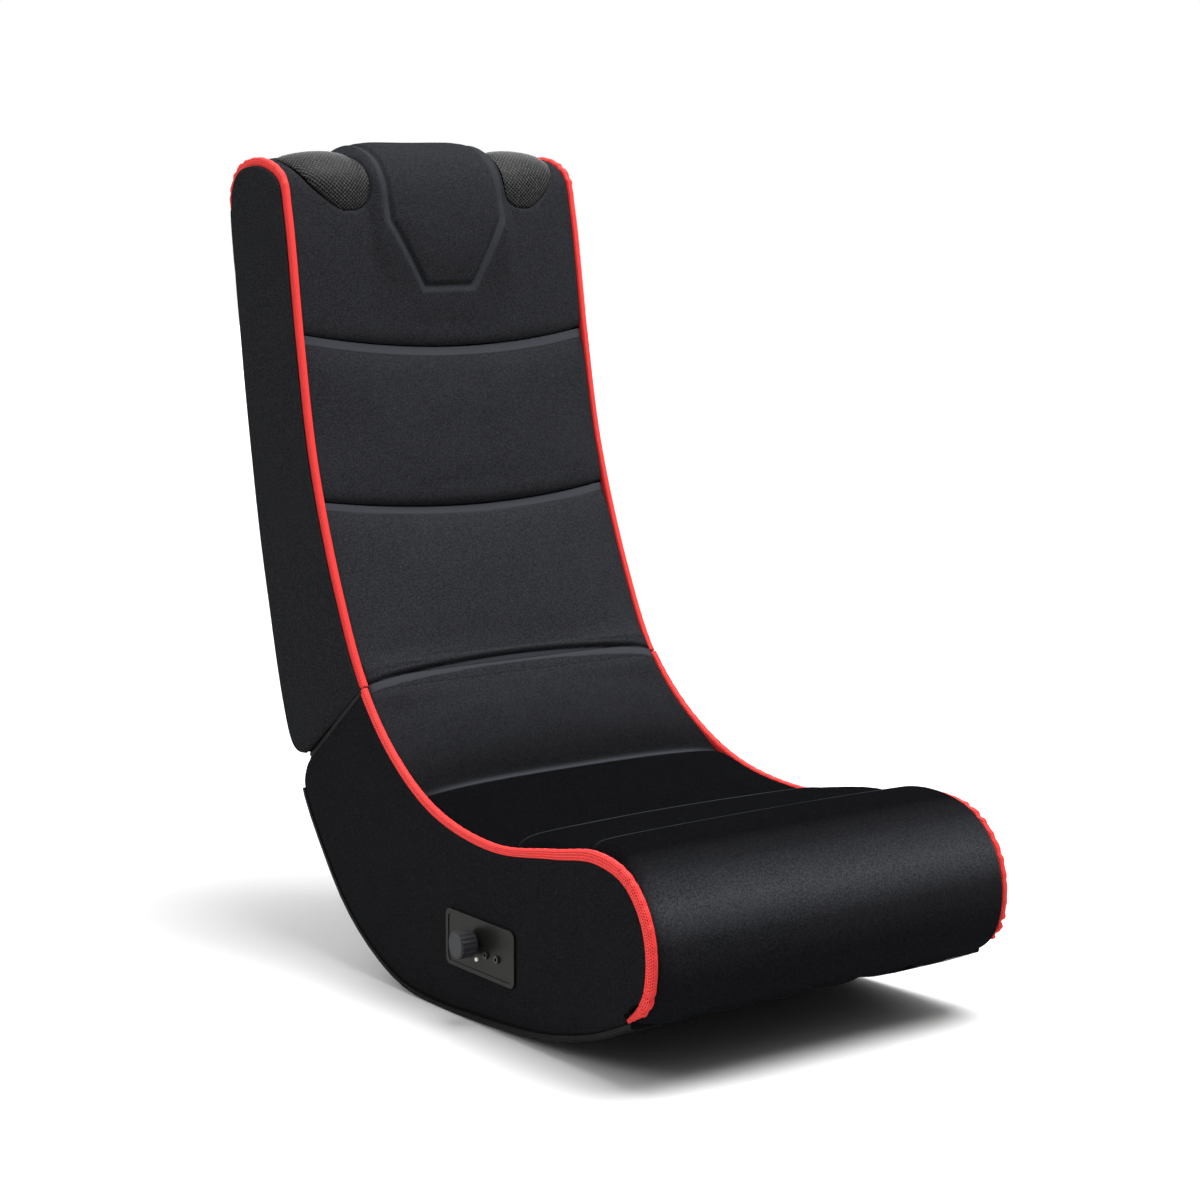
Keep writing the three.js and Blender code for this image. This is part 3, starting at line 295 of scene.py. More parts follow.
class SideLine:
    """A line of the side view, measured along its length; side +1 has its outside on the left."""

    STEPS = 400

    def __init__(self, shares, side, start=0, drop=0):
        self.points = [((y - 0.5) * DEPTH, z * EDGE_HEIGHT - drop) for y, z in shares]
        self.side = side
        self.t = np.linspace(0, 1, self.STEPS + 1)
        run = np.linalg.norm(np.diff(catmull(self.points, self.t), axis=0), axis=1)
        self.lengths = np.concatenate([[0], np.cumsum(run)])
        self.length = self.lengths[-1]
        self.zero = self.lengths[round(start / (len(shares) - 1) * self.STEPS)]

    def point(self, distance):
        """Points at distances from the line's zero, counted back towards its start."""
        run = np.clip(self.zero - np.atleast_1d(distance), 0, self.length)
        return catmull(self.points, np.interp(run, self.lengths, self.t))

    def normal(self, distance):
        """Outward normals at the same distances."""
        step = self.length / self.STEPS / 2
        low = self.zero - self.length + step
        middle = np.clip(np.atleast_1d(distance), low, self.zero - step)
        t = self.point(middle - step) - self.point(middle + step)
        t /= np.linalg.norm(t, axis=1)[:, None]
        return self.side * np.stack([t[:, 1], -t[:, 0]], axis=1)

    def at(self, distance, height):
        """(y, z) at a height above the line."""
        return self.point(distance) + self.normal(distance) * np.atleast_1d(height)[:, None]

    def locate(self, y, z):
        """(distance, height) of points beside the line."""
        grid = np.linspace(self.zero - self.length, self.zero, 4 * self.STEPS)
        p, n = self.point(grid), self.normal(grid)
        found = np.empty((len(y), 2))
        for first in range(0, len(y), 4000):
            part = np.stack([y[first:first + 4000], z[first:first + 4000]], axis=1)
            away = part[:, None, :] - p[None]
            best = np.argmin((away**2).sum(axis=2), axis=1)
            rows = np.arange(len(part))
            found[first:first + 4000, 0] = grid[best]
            found[first:first + 4000, 1] = (away[rows, best] * n[best]).sum(axis=1)
        return found[:, 0], found[:, 1]


EDGE = SideLine(BACK_EDGE_SHARES + (FOLD_SHARES,) + SEAT_EDGE_SHARES, 1, len(BACK_EDGE_SHARES))
REAR = SideLine(REAR_SHARES, -1)
BASE = SideLine(BASE_SHARES, -1, 0, FLOOR_CUT)
BACK_END = EDGE.zero
SEAT_END = EDGE.zero - EDGE.length
LOWER, UPPER = (share * BACK_END for share in BACK_CHANNEL_SHARES)
REAR_CHANNEL, MIDDLE_CHANNEL, ROLL_CHANNEL = (share * SEAT_END for share in SEAT_CHANNEL_SHARES)
FOLD_Y, FOLD_Z = EDGE.point(0)[0]
AXIS_Y, AXIS_Z = EDGE.at(0, AXIS_RISE)[0]
SEAM_END_Y, SEAM_END_Z = REAR.point(-REAR.length)[0]
SEAM_LENGTH = math.hypot(SEAM_END_Y - AXIS_Y, SEAM_END_Z - AXIS_Z)
SPEAKER_AT = UPPER + SHIELD["shoulder"] + SPEAKER_UP
SPEAKER_X = TOP_WIDTH / 2 - SPEAKER_INSET
FLARE = (ROLL_WIDTH - FOLD_WIDTH) / 2 / (FOLD_Y + DEPTH / 2)
TAPER = (BACK_FOLD_WIDTH - TOP_WIDTH) / 2 / (EDGE_HEIGHT - FOLD_Z)
SIDES = (("right", -1), ("left", 1))


def seat_half(y, z):
    return FOLD_WIDTH / 2 + FLARE * (FOLD_Y - y)


def back_half(y, z):
    return BACK_FOLD_WIDTH / 2 - TAPER * (z - FOLD_Z)


HALVES = {"seat": seat_half, "back": back_half}
DEPTHS = {"seat": SEAT_PAD, "back": BACK_PAD}


def smooth(x, low, high):
    """0 at low, 1 at high and eased between."""
    f = np.clip((x - low) / (high - low), 0, 1)
    return f * f * (3 - 2 * f)


def table(shares, x):
    """Eased reading of a table of (x share, value share) rows."""
    a = np.array(shares)
    fine = np.linspace(0, 1, 241)
    value = np.interp(fine, a[:, 0], a[:, 1])
    soft = np.convolve(np.pad(value, 2, mode="edge"), np.ones(5) / 5, "valid")
    soft[0] = value[0]
    return np.interp(x, fine, soft)


# Blender's tools in short words
def use(piece):
    bpy.ops.object.select_all(action="DESELECT")
    piece.select_set(True)
    bpy.context.view_layer.objects.active = piece


def shape(piece, *steps):
    """Runs each step on the whole mesh in edit mode."""
    use(piece)
    bpy.ops.object.mode_set(mode="EDIT")
    for step in steps:
        bpy.ops.mesh.select_all(action="SELECT")
        step()
    bpy.ops.object.mode_set(mode="OBJECT")


def modify(piece, kind, **settings):
    """Adds a modifier, sets it and applies it."""
    use(piece)
    modifier = piece.modifiers.new(kind.title(), kind)
    for key, value in settings.items():
        setattr(modifier, key, value)
    bpy.ops.object.modifier_apply(modifier=modifier.name)


def refine(piece, levels=1):
    modify(piece, "SUBSURF", levels=levels, render_levels=levels)


def points(piece):
    co = np.empty(len(piece.data.vertices) * 3)
    piece.data.vertices.foreach_get("co", co)
    return co.reshape(-1, 3)


def move_points(piece, co):
    piece.data.vertices.foreach_set("co", np.ascontiguousarray(co, float).ravel())
    piece.data.update()


def weld():
    bpy.ops.mesh.remove_doubles(threshold=WELD)


def outwards():
    bpy.ops.mesh.normals_make_consistent(inside=False)


def grid(name, across, along):
    """A grid in the xy plane, with x and y from 0 to 1."""
    bpy.ops.object.select_all(action="DESELECT")
    bpy.ops.mesh.primitive_grid_add(x_subdivisions=across, y_subdivisions=along, size=1, location=(0, 0, 0))
    piece = bpy.context.object
    piece.name = name
    piece.data.name = name
    co = points(piece)
    co[:, :2] += 0.5
    move_points(piece, co)
    return piece


def write_uv(piece, u, v):
    """UV map in metres from a value of u and v for each point."""
    layer = piece.data.uv_layers[0] if piece.data.uv_layers else piece.data.uv_layers.new(name="UVMap")
    corner = np.empty(len(piece.data.loops), int)
    piece.data.loops.foreach_get("vertex_index", corner)
    layer.data.foreach_set("uv", np.stack([u[corner], v[corner]], axis=1).ravel())


def dress(piece, body, material, replaced=()):
    """Gives a finished piece its finish, its shading, its body and the nodes that it stands for."""
    piece.data.materials.clear()
    piece.data.materials.append(material)
    use(piece)
    bpy.ops.object.shade_smooth()
    if body:
        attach(piece, body)
    if replaced:
        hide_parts(*replaced)


# Nodes of the materials
def feed(tree, inputs, values):
    """Fills inputs; values pairs an input's name or number with a value or another node's output."""
    for key, value in dict(values).items():
        if isinstance(value, bpy.types.NodeSocket):
            tree.links.new(value, inputs[key])
        else:
            inputs[key].default_value = value


def put(tree, kind, values=(), **settings):
    """A node with its settings and its inputs."""
    made = tree.nodes.new("ShaderNode" + kind)
    for key, value in settings.items():
        setattr(made, key, value)
    feed(tree, made.inputs, values)
    return made


def maths(tree, operation, a, b=None, c=None):
    values = {i: v for i, v in enumerate((a, b, c)) if v is not None}
    return put(tree, "Math", values, operation=operation).outputs[0]


def ramp(tree, value, low, high, to_low=0, to_high=1):
    values = {"Value": value, "From Min": low, "From Max": high, "To Min": to_low, "To Max": to_high}
    return put(tree, "MapRange", values).outputs[0]


def noise(tree, place, scale, detail, roughness=0.5):
    values = {"Vector": place, "Scale": scale, "Detail": detail, "Roughness": roughness}
    return put(tree, "TexNoise", values).outputs["Fac"]


def bump(tree, height, distance):
    return put(tree, "Bump", {"Height": height, "Distance": distance}).outputs[0]


MIX_A, MIX_B, MIX_RESULT = 6, 7, 2  # a Mix node's sockets for colours


def mix(tree, share, a, b):
    """Colour a turning into colour b."""
    a, b = (end if isinstance(end, bpy.types.NodeSocket) else (*end, 1) for end in (a, b))
    made = put(tree, "Mix", {"Factor": share, MIX_A: a, MIX_B: b}, data_type="RGBA")
    return made.outputs[MIX_RESULT]


def effect(name, build, inputs):
    """A node group of masks and heights that finishes share; an input without a default is a place."""
    tree = bpy.data.node_groups.new(name, "ShaderNodeTree")
    for label, default in inputs.items():
        kind = "NodeSocketVector" if default is None else "NodeSocketFloat"
        socket = tree.interface.new_socket(name=label, in_out="INPUT", socket_type=kind)
        if default is not None:
            socket.default_value = default
    results = build(tree, tree.nodes.new("NodeGroupInput").outputs)
    for label in results:
        tree.interface.new_socket(name=label, in_out="OUTPUT", socket_type="NodeSocketFloat")
    feed(tree, tree.nodes.new("NodeGroupOutput").inputs, results)


def cells(tree, place, wide, long):
    """Place on the surface, counted in cells of a pattern."""
    split = put(tree, "SeparateXYZ", {0: place}).outputs
    return maths(tree, "DIVIDE", split[0], wide), maths(tree, "DIVIDE", split[1], long)


def knit_effect(tree, given):
    """Columns of small stitches, and the lint that catches light on them."""
    u, v = cells(tree, given["Vector"], given["Pitch"], given["Pitch"])
    column = maths(tree, "PINGPONG", u, 0.5)
    leg = maths(tree, "MULTIPLY_ADD", column, 1.3, v)
    stitch = maths(tree, "ABSOLUTE", maths(tree, "SINE", maths(tree, "MULTIPLY", leg, math.pi)))
    rib = maths(tree, "SINE", maths(tree, "MULTIPLY", column, 2 * math.pi))
    height = maths(tree, "MULTIPLY_ADD", stitch, 0.6, maths(tree, "MULTIPLY", rib, 0.4))
    lint = ramp(tree, noise(tree, given["Place"], 1400, 2, 0.7), 0.62, 0.78)
    cloud = noise(tree, given["Place"], 26, 4, 0.6)
    speck = noise(tree, given["Place"], 600, 2, 0.75)
    return {"Height": height, "Lint": lint, "Cloud": cloud, "Speck": speck}


def spacer_effect(tree, given):
    """Staggered holes of a spacer mesh, and the threads that stand round them."""
    u, v = cells(tree, given["Vector"], given["Width"], given["Length"])
    shifted = maths(tree, "MULTIPLY_ADD", maths(tree, "FLOOR", v), 0.5, u)
    a, b = (maths(tree, "SUBTRACT", maths(tree, "FRACT", way), 0.5) for way in (shifted, v))
    across, along = maths(tree, "MULTIPLY", a, a), maths(tree, "MULTIPLY", b, b)
    away = maths(tree, "SQRT", maths(tree, "ADD", across, along))
    return {"Thread": ramp(tree, away, 0.24, 0.4), "Lint": noise(tree, given["Place"], 900, 2)}


def net_effect(tree, given):
    """Threads that cross in diamonds, thicker where they meet."""
    u, v = cells(tree, given["Vector"], given["Width"], given["Length"])
    lines = []
    for operation in ("ADD", "SUBTRACT"):
        turn = maths(tree, "FRACT", maths(tree, operation, u, v))
        lines.append(maths(tree, "ABSOLUTE", maths(tree, "SUBTRACT", turn, 0.5)))
    near = maths(tree, "SMOOTH_MIN", lines[0], lines[1], 0.12)
    return {"Thread": ramp(tree, near, 0.05, 0.14, 1, 0)}


def grain_effect(tree, given):
    """Fine mould texture and faint scuffs for moulded pieces and boards."""
    scuff = noise(tree, given["Vector"], 14, 6, 0.75)
    return {"Height": noise(tree, given["Vector"], given["Scale"], 3), "Scuff": ramp(tree, scuff, 0.5, 0.72)}


EFFECTS = (
    ("Knit", knit_effect, {"Vector": None, "Place": None, "Pitch": 0.0011}),
    ("Spacer mesh", spacer_effect, {"Vector": None, "Place": None, "Width": 0.002, "Length": 0.002}),
    ("Net", net_effect, {"Vector": None, "Width": 0.005, "Length": 0.005}),
    ("Grain", grain_effect, {"Vector": None, "Scale": 900.0}),
)


def placed(tree, name, values):
    """Outputs of a node group placed in a material with its own values."""
    return put(tree, "Group", values, node_tree=bpy.data.node_groups[name]).outputs


def blank(name):
    """A new material, its nodes, its shader's inputs and the surface's own coordinates."""
    material = bpy.data.materials.new(name)
    material.use_nodes = True
    tree = material.node_tree
    return material, tree, tree.nodes["Principled BSDF"].inputs, put(tree, "TexCoord").outputs


def knit(name, colour, pitch, relief=0.0002, pressed=None):
    """Knit cloth on foam: stitches, lint and slow changes of tone; painted shade from a point attribute
    darkens it, and the last colour is the tone of painted highlights laid on from another point attribute.
    """
    light = [3 * c for c in colour]
    bright = [15 * c for c in colour]
    material, tree, shader, place = blank(name)
    made = placed(tree, "Knit", {"Vector": place["UV"], "Place": place["Object"], "Pitch": pitch})
    tone = mix(tree, ramp(tree, made["Cloud"], 0.3, 0.7, 0, 0.25), colour, light)
    stitched = mix(tree, ramp(tree, made["Height"], 0.1, 0.9, 0, 0.3), tone, light)
    specked = mix(tree, ramp(tree, made["Speck"], 0.4, 0.6), stitched, light)
    linted = mix(tree, maths(tree, "MULTIPLY", made["Lint"], 0.6), specked, bright)
    # Painted shade: a point attribute darkens the knit towards a tenth of its tone.
    worn = put(tree, "Attribute", attribute_name="worn").outputs["Fac"]
    cloth = mix(tree, worn, linted, mix(tree, 0.1, (0, 0, 0), linted))
    # Painted highlight: a point attribute turns the knit into the highlight tone.
    if pressed:
        highlight_share = put(tree, "Attribute", attribute_name="pressed").outputs["Fac"]
        cloth = mix(tree, highlight_share, cloth, pressed)
    feed(tree, shader, {
        "Base Color": cloth,
        "Roughness": ramp(tree, made["Speck"], 0.3, 0.7, 0.62, 0.5),
        "Normal": bump(tree, made["Height"], relief),
        "Specular IOR Level": 0,
    })
    return material


def mesh_cloth(name, hole, thread, width, length):
    """Spacer mesh: threads round dark holes."""
    material, tree, shader, place = blank(name)
    values = {"Vector": place["UV"], "Place": place["Object"], "Width": width, "Length": length}
    made = placed(tree, "Spacer mesh", values)
    threads = mix(tree, ramp(tree, made["Lint"], 0.3, 0.7), [c * 0.8 for c in thread], thread)
    feed(tree, shader, {
        "Base Color": mix(tree, made["Thread"], hole, threads),
        "Roughness": ramp(tree, made["Lint"], 0.3, 0.7, 0.5, 0.7),
        "Normal": bump(tree, made["Thread"], 0.0006),
        "Specular IOR Level": 0.1,
    })
    return material


def net(name, hole, thread, width, length):
    """Open net over dark cloth: threads in diamonds, with lighter and darker stretches."""
    material, tree, shader, place = blank(name)
    made = placed(tree, "Net", {"Vector": place["UV"], "Width": width, "Length": length})
    lint = noise(tree, place["Object"], 420, 2)
    threads = mix(tree, ramp(tree, lint, 0.35, 0.65), [c * 0.4 for c in thread], [c * 1.5 for c in thread])
    feed(tree, shader, {
        "Base Color": mix(tree, made["Thread"], hole, threads),
        "Roughness": ramp(tree, lint, 0.3, 0.7, 0.5, 0.65),
        "Normal": bump(tree, made["Thread"], 0.0006),
        "Specular IOR Level": 0.1,
    })
    return material


def moulded(name, colour, roughness, scale=900, relief=0.00012, metallic=0, lighter=1.7, gloss=0.4):
    """Moulded or rolled stock: fine grain, and scuffs that change tone and gloss a little."""
    material, tree, shader, place = blank(name)
    made = placed(tree, "Grain", {"Vector": place["Object"], "Scale": scale})
    share = maths(tree, "MULTIPLY", made["Scuff"], 0.4)
    feed(tree, shader, {
        "Base Color": mix(tree, share, colour, [min(1, c * lighter) for c in colour]),
        "Roughness": ramp(tree, made["Scuff"], 0, 1, roughness, roughness + 0.12),
        "Normal": bump(tree, made["Height"], relief),
        "Metallic": metallic,
        "Specular IOR Level": gloss,
    })
    return material


def board(name, light, dark, along=(1, 0.06, 1)):
    """Plywood or hardboard and grey board: streaks along the grain."""
    material, tree, shader, place = blank(name)
    stretched = put(tree, "Mapping", {"Vector": place["Object"], "Scale": along}).outputs[0]
    streak = noise(tree, stretched, 90, 6, 0.65)
    feed(tree, shader, {
        "Base Color": mix(tree, streak, dark, light),
        "Roughness": ramp(tree, placed(tree, "Grain", {"Vector": place["Object"]})["Scuff"], 0, 1, 0.7, 0.85),
        "Normal": bump(tree, streak, 0.0002),
    })
    return material


def colour(name):
    return tuple(getattr(bpy.context.scene.chair_colours, name))


def size(name):
    return getattr(bpy.context.scene.chair_sizes, name)


MATERIALS = {}


def build_materials():
    for row in EFFECTS:
        effect(*row)
    red = colour("piping")
    even = (1, 1, 1)
    MATERIALS.update({
        "pad": knit("Charcoal knit", colour("pads"), 0.0011, pressed=colour("strips")),
        "side": knit("Black knit", colour("sides"), 0.0012),
        # The piping's holes are its red at about a third of its tone: painted shade in the mesh's recesses.
        "piping": mesh_cloth("Red spacer mesh", [0.35 * c for c in red], red, 0.0028, 0.0022),
        "grille": net("Open black mesh", [0.0015] * 3, (0.045, 0.045, 0.046), 0.0042, 0.0036),
        "tape": net("Black tape", [0.002] * 3, (0.02, 0.02, 0.021), 0.004, 0.004),
        "lining": knit("Lining cloth", (0.004, 0.004, 0.0042), 0.0006, 0.0001),
        "foam": moulded("Open foam", (0.69, 0.64, 0.48), 0.9, 700, 0.0008),
        "plywood": board("Plywood", (0.6, 0.42, 0.22), (0.42, 0.27, 0.12)),
        "hardboard": board("Hardboard", (0.22, 0.12, 0.05), (0.13, 0.07, 0.03), even),
        "greyboard": board("Grey board", (0.32, 0.28, 0.23), (0.22, 0.19, 0.15), even),
        "rail": moulded("Satin black", (0.0035, 0.0035, 0.0037), 0.5, 1200, gloss=0.06),
        "cup": moulded("Cup plastic", [0.008] * 3, 0.4),
        "cone": moulded("Paper cone", [0.02] * 3, 0.85, 500, 0.0003),
        "plate": moulded(
            "Satin olive black", (0.0065, 0.0068, 0.0055), 0.36, 700, 0.00002, lighter=1.25, gloss=0.1,
        ),
        "knob": moulded("Soft-touch black", (0.026, 0.027, 0.03), 0.5, 1500, 0.00008, gloss=0.15),
        "steel": moulded("Zinc plate", (0.5, 0.51, 0.53), 0.32, 800, 0.00003, metallic=1, lighter=1.1),
        "lens": moulded("Clear white lens", (0.8, 0.8, 0.76), 0.2, 700, 0.00002, lighter=1),
        "floor": moulded("Pale floor", [0.55] * 3, 0.8, 60, 0.00002, lighter=1.02, gloss=0),
    })


# Upholstery
def crown_height(u, above, below, crown, edge, foot, head):
    """Height of a pad's skin at a share u of its half width, between two creases; edge squares its sides."""
    dome = 1 - np.abs(u) ** edge
    low, high = CHANNEL_CROWN * dome - CHANNEL_DEPTH, crown * dome
    lift = np.minimum(table(foot, above / REACH), table(head, below / REACH))
    return low + (high - low) * lift


def head_height(u, x, above, distance):
    """Height of the headrest's skin, before its shield is sunk in."""
    left = BACK_END - distance
    fade = smooth(left, 0, HEAD_FADE)
    dome = (1 - np.abs(u) ** 3) * fade
    up = smooth(above, SHIELD["bottom"], SHIELD["shoulder"])
    middle = 1 - smooth(np.abs(x), SHIELD["high"], SHIELD["high"] + HEAD_SLOPE)
    high = HEAD_SIDE_CROWN * dome + (HEAD_CROWN - HEAD_SIDE_CROWN) * middle * up * fade
    low = (CHANNEL_CROWN * dome - CHANNEL_DEPTH) * smooth(left, 0, HEAD_SINK)
    return low + (high - low) * np.minimum(table(OVERHANG, above / REACH), smooth(left, 0, HEAD_ROUND))


def in_shield(x, d):
    """Signed distance into the shield, from its outline; d counts from the channel under it."""
    rise, spread = SHIELD["shoulder"] - SHIELD["bottom"], SHIELD["high"] - SHIELD["low"]
    half = SHIELD["low"] + spread * np.clip((d - SHIELD["bottom"]) / rise, 0, 1)
    side = (half - np.abs(x)) / np.where(d < SHIELD["shoulder"], math.hypot(1, spread / rise), 1)
    return np.minimum(side, d - SHIELD["bottom"])


def grille_sides(distance):
    """Inner and outer side of the teardrop at a distance, and the share along it."""
    rows = np.array(GRILLE_SHARES)
    along = (distance - SPEAKER_AT) / GRILLE_REACH
    inner, outer = (SPEAKER_X + GRILLE_SPAN * np.interp(along, rows[:, 0], rows[:, k]) for k in (1, 2))
    return inner, outer, along


def in_grille(x, distance):
    """Rough distance into the teardrop."""
    inner, outer, along = grille_sides(distance)
    across = np.minimum(np.abs(x) - inner, outer - np.abs(x))
    return np.minimum(across * 0.8, (1 - np.abs(along)) * GRILLE_REACH)


def narrow_at(body, distance):
    """Half width of the pads' skin, which tucks under the piping."""
    line = EDGE.point(distance)
    return HALVES[body](line[:, 0], line[:, 1]) - TUCK


def over_fold(distance):
    """Height of the skin beside the hinge's knuckles."""
    return np.interp(np.abs(distance), *np.transpose(FOLD_SKIN))


def beside_fold(u, left, height):
    """The skin's height, turned into the flatter skin beside the knuckles near the pad's end."""
    skin = over_fold(left + KNUCKLE)
    share = smooth(left, *FOLD_RUN)
    return (1 - np.abs(u) ** FOLD_EDGE) * skin * (1 - share) + np.minimum(height, skin) * share


def bow(at, rise, tilt=0):
    """A crease that lies at a distance at its ends and bows by a rise in its middle."""
    return lambda u: at + rise * (1 - u**2) + tilt * u


HEAD_CREASE = bow(UPPER + 0.007, -0.0165, -0.0025)
LOWER_CREASE = bow(LOWER + 0.0085, -0.0145, -0.0012)
FOLD_CREASE = bow(KNUCKLE, FOLD_BOW)
SEAT_FOLD = bow(-KNUCKLE, 0)
REAR_CREASE = bow(REAR_CHANNEL, 0.002)
MIDDLE_CREASE = bow(MIDDLE_CHANNEL, 0.02)
ROLL_CREASE = bow(ROLL_CHANNEL, 0.02)


def inset(crease, way):
    """A crease moved by half a slit."""
    return lambda u: crease(u) + way * SEAM_HALF


def wander(x, distance):
    """Slow waves of a sewn skin, from -1 to 1."""
    return (np.sin(31 * x + 17 * distance) + np.sin(47 * distance - 23 * x + 2) + np.sin(71 * x + 5)) / 3


def pad_block(name, body, depth, low, high, height):
    """A closed block along the edge line between two creases, with its skin at the height given."""
    cell = size("cell")
    columns = round(2 * narrow_at(body, np.array([low(0.0)]))[0] / cell)
    piece = grid(name, columns, round((high(0.0) - low(0.0)) / cell))

    def layers():
        for _ in range(PAD_LAYERS):
            bpy.ops.mesh.extrude_region_move(TRANSFORM_OT_translate={"value": (0, 0, -1 / PAD_LAYERS)})

    shape(piece, layers)
    co = points(piece)
    u, v, w = 2 * co[:, 0] - 1, co[:, 1], np.clip(-co[:, 2], 0, 1)
    v -= CROWDING * np.sin(2 * math.pi * v) / (2 * math.pi)
    distance = low(u) + (high(u) - low(u)) * v
    x = u * narrow_at(body, distance)
    skin = height(u, x, distance - low(u), high(u) - distance)
    level = skin * (1 - w) - depth * w
    move_points(piece, np.column_stack([x, EDGE.at(distance, level)]))
    write_uv(piece, x, distance)
    keep(piece, "along", distance)
    keep(piece, "buried", w)
    shape(piece, outwards)
    ends = np.minimum(distance - low(u), high(u) - distance)
    free = smooth(ends, *HELD_RUN) * smooth(1 - np.abs(u), 0, HELD_SIDE_SHARE)
    inflate(piece, np.where(w > 0, 1, 1 - free))
    refine(piece, 2)
    return piece


def keep(piece, name, values):
    """Keeps a value for each point with the mesh."""
    piece.data.attributes.new(name, "FLOAT", "POINT").data.foreach_set("value", values.astype(np.float32))


def kept(piece, name):
    values = np.empty(len(piece.data.vertices), np.float32)
    piece.data.attributes[name].data.foreach_get("value", values)
    piece.data.attributes.remove(piece.data.attributes[name])
    return values.astype(float)


def inflate(piece, held):
    """Blows the pad up a little as cloth; held is 1 for a point that keeps its place."""
    rest = points(piece)
    group = piece.vertex_groups.new(name="Held")
    for index in np.flatnonzero(held > 0):
        group.add([int(index)], float(held[index]), "REPLACE")
    use(piece)
    cloth = piece.modifiers.new("Cloth", "CLOTH")
    cloth.settings.vertex_group_mass = "Held"
    cloth.settings.use_pressure = True
    cloth.settings.uniform_pressure_force = PRESSURE
    cloth.settings.effector_weights.gravity = 0
    cloth.point_cache.frame_start = 1
    cloth.point_cache.frame_end = FRAMES
    for step in range(1, FRAMES + 1):
        bpy.context.scene.frame_set(step)
    bpy.ops.object.modifier_apply(modifier=cloth.name)
    bpy.context.scene.frame_set(1)
    shift = points(piece) - rest
    far = np.linalg.norm(shift, axis=1)
    shift *= (np.minimum(far, size("puff")) / np.maximum(far, 1e-9))[:, None]
    move_points(piece, rest + shift)
    piece.vertex_groups.clear()


def lip(u, above, rise):
    """A ridge that rises towards the crease below the pad and drops abruptly, and the painted highlight on
    it.
    """
    ends = (1 - np.abs(u) ** LINE_SQUARE) * smooth(above, 0, LIP_SHARP)
    out = 1 - smooth(above, *LIP_RUN)
    return rise * ends * out, min(MOST_SHINE, LIP_SHINE * rise) * ends * out**3


def strip(below, wide):
    """A strip under the crease above the pad, coloured with painted highlight, with a fine stitched line sunk
    along its lower side.
    """
    line = np.exp(-(((below - wide) / STITCH) ** 2))
    return -STITCH_DEPTH * line, MOST_SHINE * smooth(wide - below, 0, STITCH)


def edge_line(u, below):
    """A fine line of painted highlight along a pad's rear edge."""
    line = np.exp(-(((below - EDGE_LINE_AT) / EDGE_LINE_WIDTH) ** 2))
    return 0, EDGE_LINE_SHINE * (1 - np.abs(u) ** LINE_SQUARE) * line


def finish_pad(piece, body, low, high, shade_shares, more, rise=0, band=0, edged=False):
    """Ridge, strip, fine line, sewn-in detail, slow waves and painted shade on the refined skin, with painted
    highlights from the marks.
    """
    co = points(piece)
    distance = kept(piece, "along")
    skin = 1 - smooth(kept(piece, "buried"), *SKIN_SHARES)
    u = np.clip(co[:, 0] / narrow_at(body, distance), -1, 1)
    above, below = distance - low(u), high(u) - distance
    inner = smooth(1 - np.abs(u), 0, CALM_SIDE_SHARE) * smooth(above, *CALM_RUN) * smooth(below, *CALM_RUN)
    shift, pressed = PAD_WAVE * wander(co[:, 0], distance) * inner, np.zeros(len(co))
    # Each mark gives a change of height and a share of painted highlight.
    marks = [lip(u, above, rise)] if rise else []
    marks += [strip(below, band)] if band else []
    marks += [edge_line(u, below)] if edged else []
    marks += [more(u, co[:, 0], distance)] if more else []
    for level, mark in marks:
        shift, pressed = shift + level, np.maximum(pressed, mark)
    co[:, 1:] += EDGE.normal(distance) * (shift * skin)[:, None]
    move_points(piece, co)
    keep(piece, "pressed", np.clip(pressed, 0, 1) * skin)
    # Painted shade from a table of distance and share.
    keep(piece, "worn", np.interp(np.abs(distance), *np.transpose(shade_shares)))
    dress(piece, body, MATERIALS["pad"], [piece.name.removeprefix("cloth_")])


def scallops(u):
    """0 on the scallops of the roll's hem, 1 between them."""
    across, middle = HEM_SCALLOPS
    return 1 - np.sqrt(np.abs(np.sin(across * u + middle)))


def hem(u):
    """Scalloped lower end of the front roll."""
    return SEAT_END + HEM_DEPTH * scallops(u)


def gathers(u, x, distance):
    """Drawn-in folds along the roll's hem."""
    near = 1 - smooth(distance - SEAT_END, *HEM_RUN)
    return -HEM_DEPTH * near * scallops(u), 0


# Name, body, creases below and above, crown, squareness of the sides, profiles at the two creases, rise of
# the ridge, width of the strip and the painted shade on the knit, darker on the seat than on the back
PADS = (
    ("back_pad_lower", "back", FOLD_CREASE, LOWER_CREASE, CROWN, 3, OVERHANG, STRIP, 0, 0.009, ((0, 0.45),)),
    ("back_pad_upper", "back", LOWER_CREASE, HEAD_CREASE, CROWN, 3, OVERHANG, STRIP, 0, 0.01, ((0, 0.5),)),
    ("seat_pad_rear", "seat", REAR_CREASE, SEAT_FOLD, CROWN, 3, LIP, ROUND, 0.0025, 0, REAR_PAINTED_SHADE),
    ("seat_pad_middle", "seat", MIDDLE_CREASE, REAR_CREASE, CROWN, 9, LIP, ROUND, 0.0015, 0, ((0, 1),)),
    ("seat_pad_front", "seat", ROLL_CREASE, MIDDLE_CREASE, CROWN, 20, LIP, EDGED, 0.0006, 0, ((0, 1),)),
    ("front_roll", "seat", hem, ROLL_CREASE, ROLL_CROWN, 40, LIP, EDGED, 0, 0, ROLL_SHADE_AND_HIGHLIGHT),
)


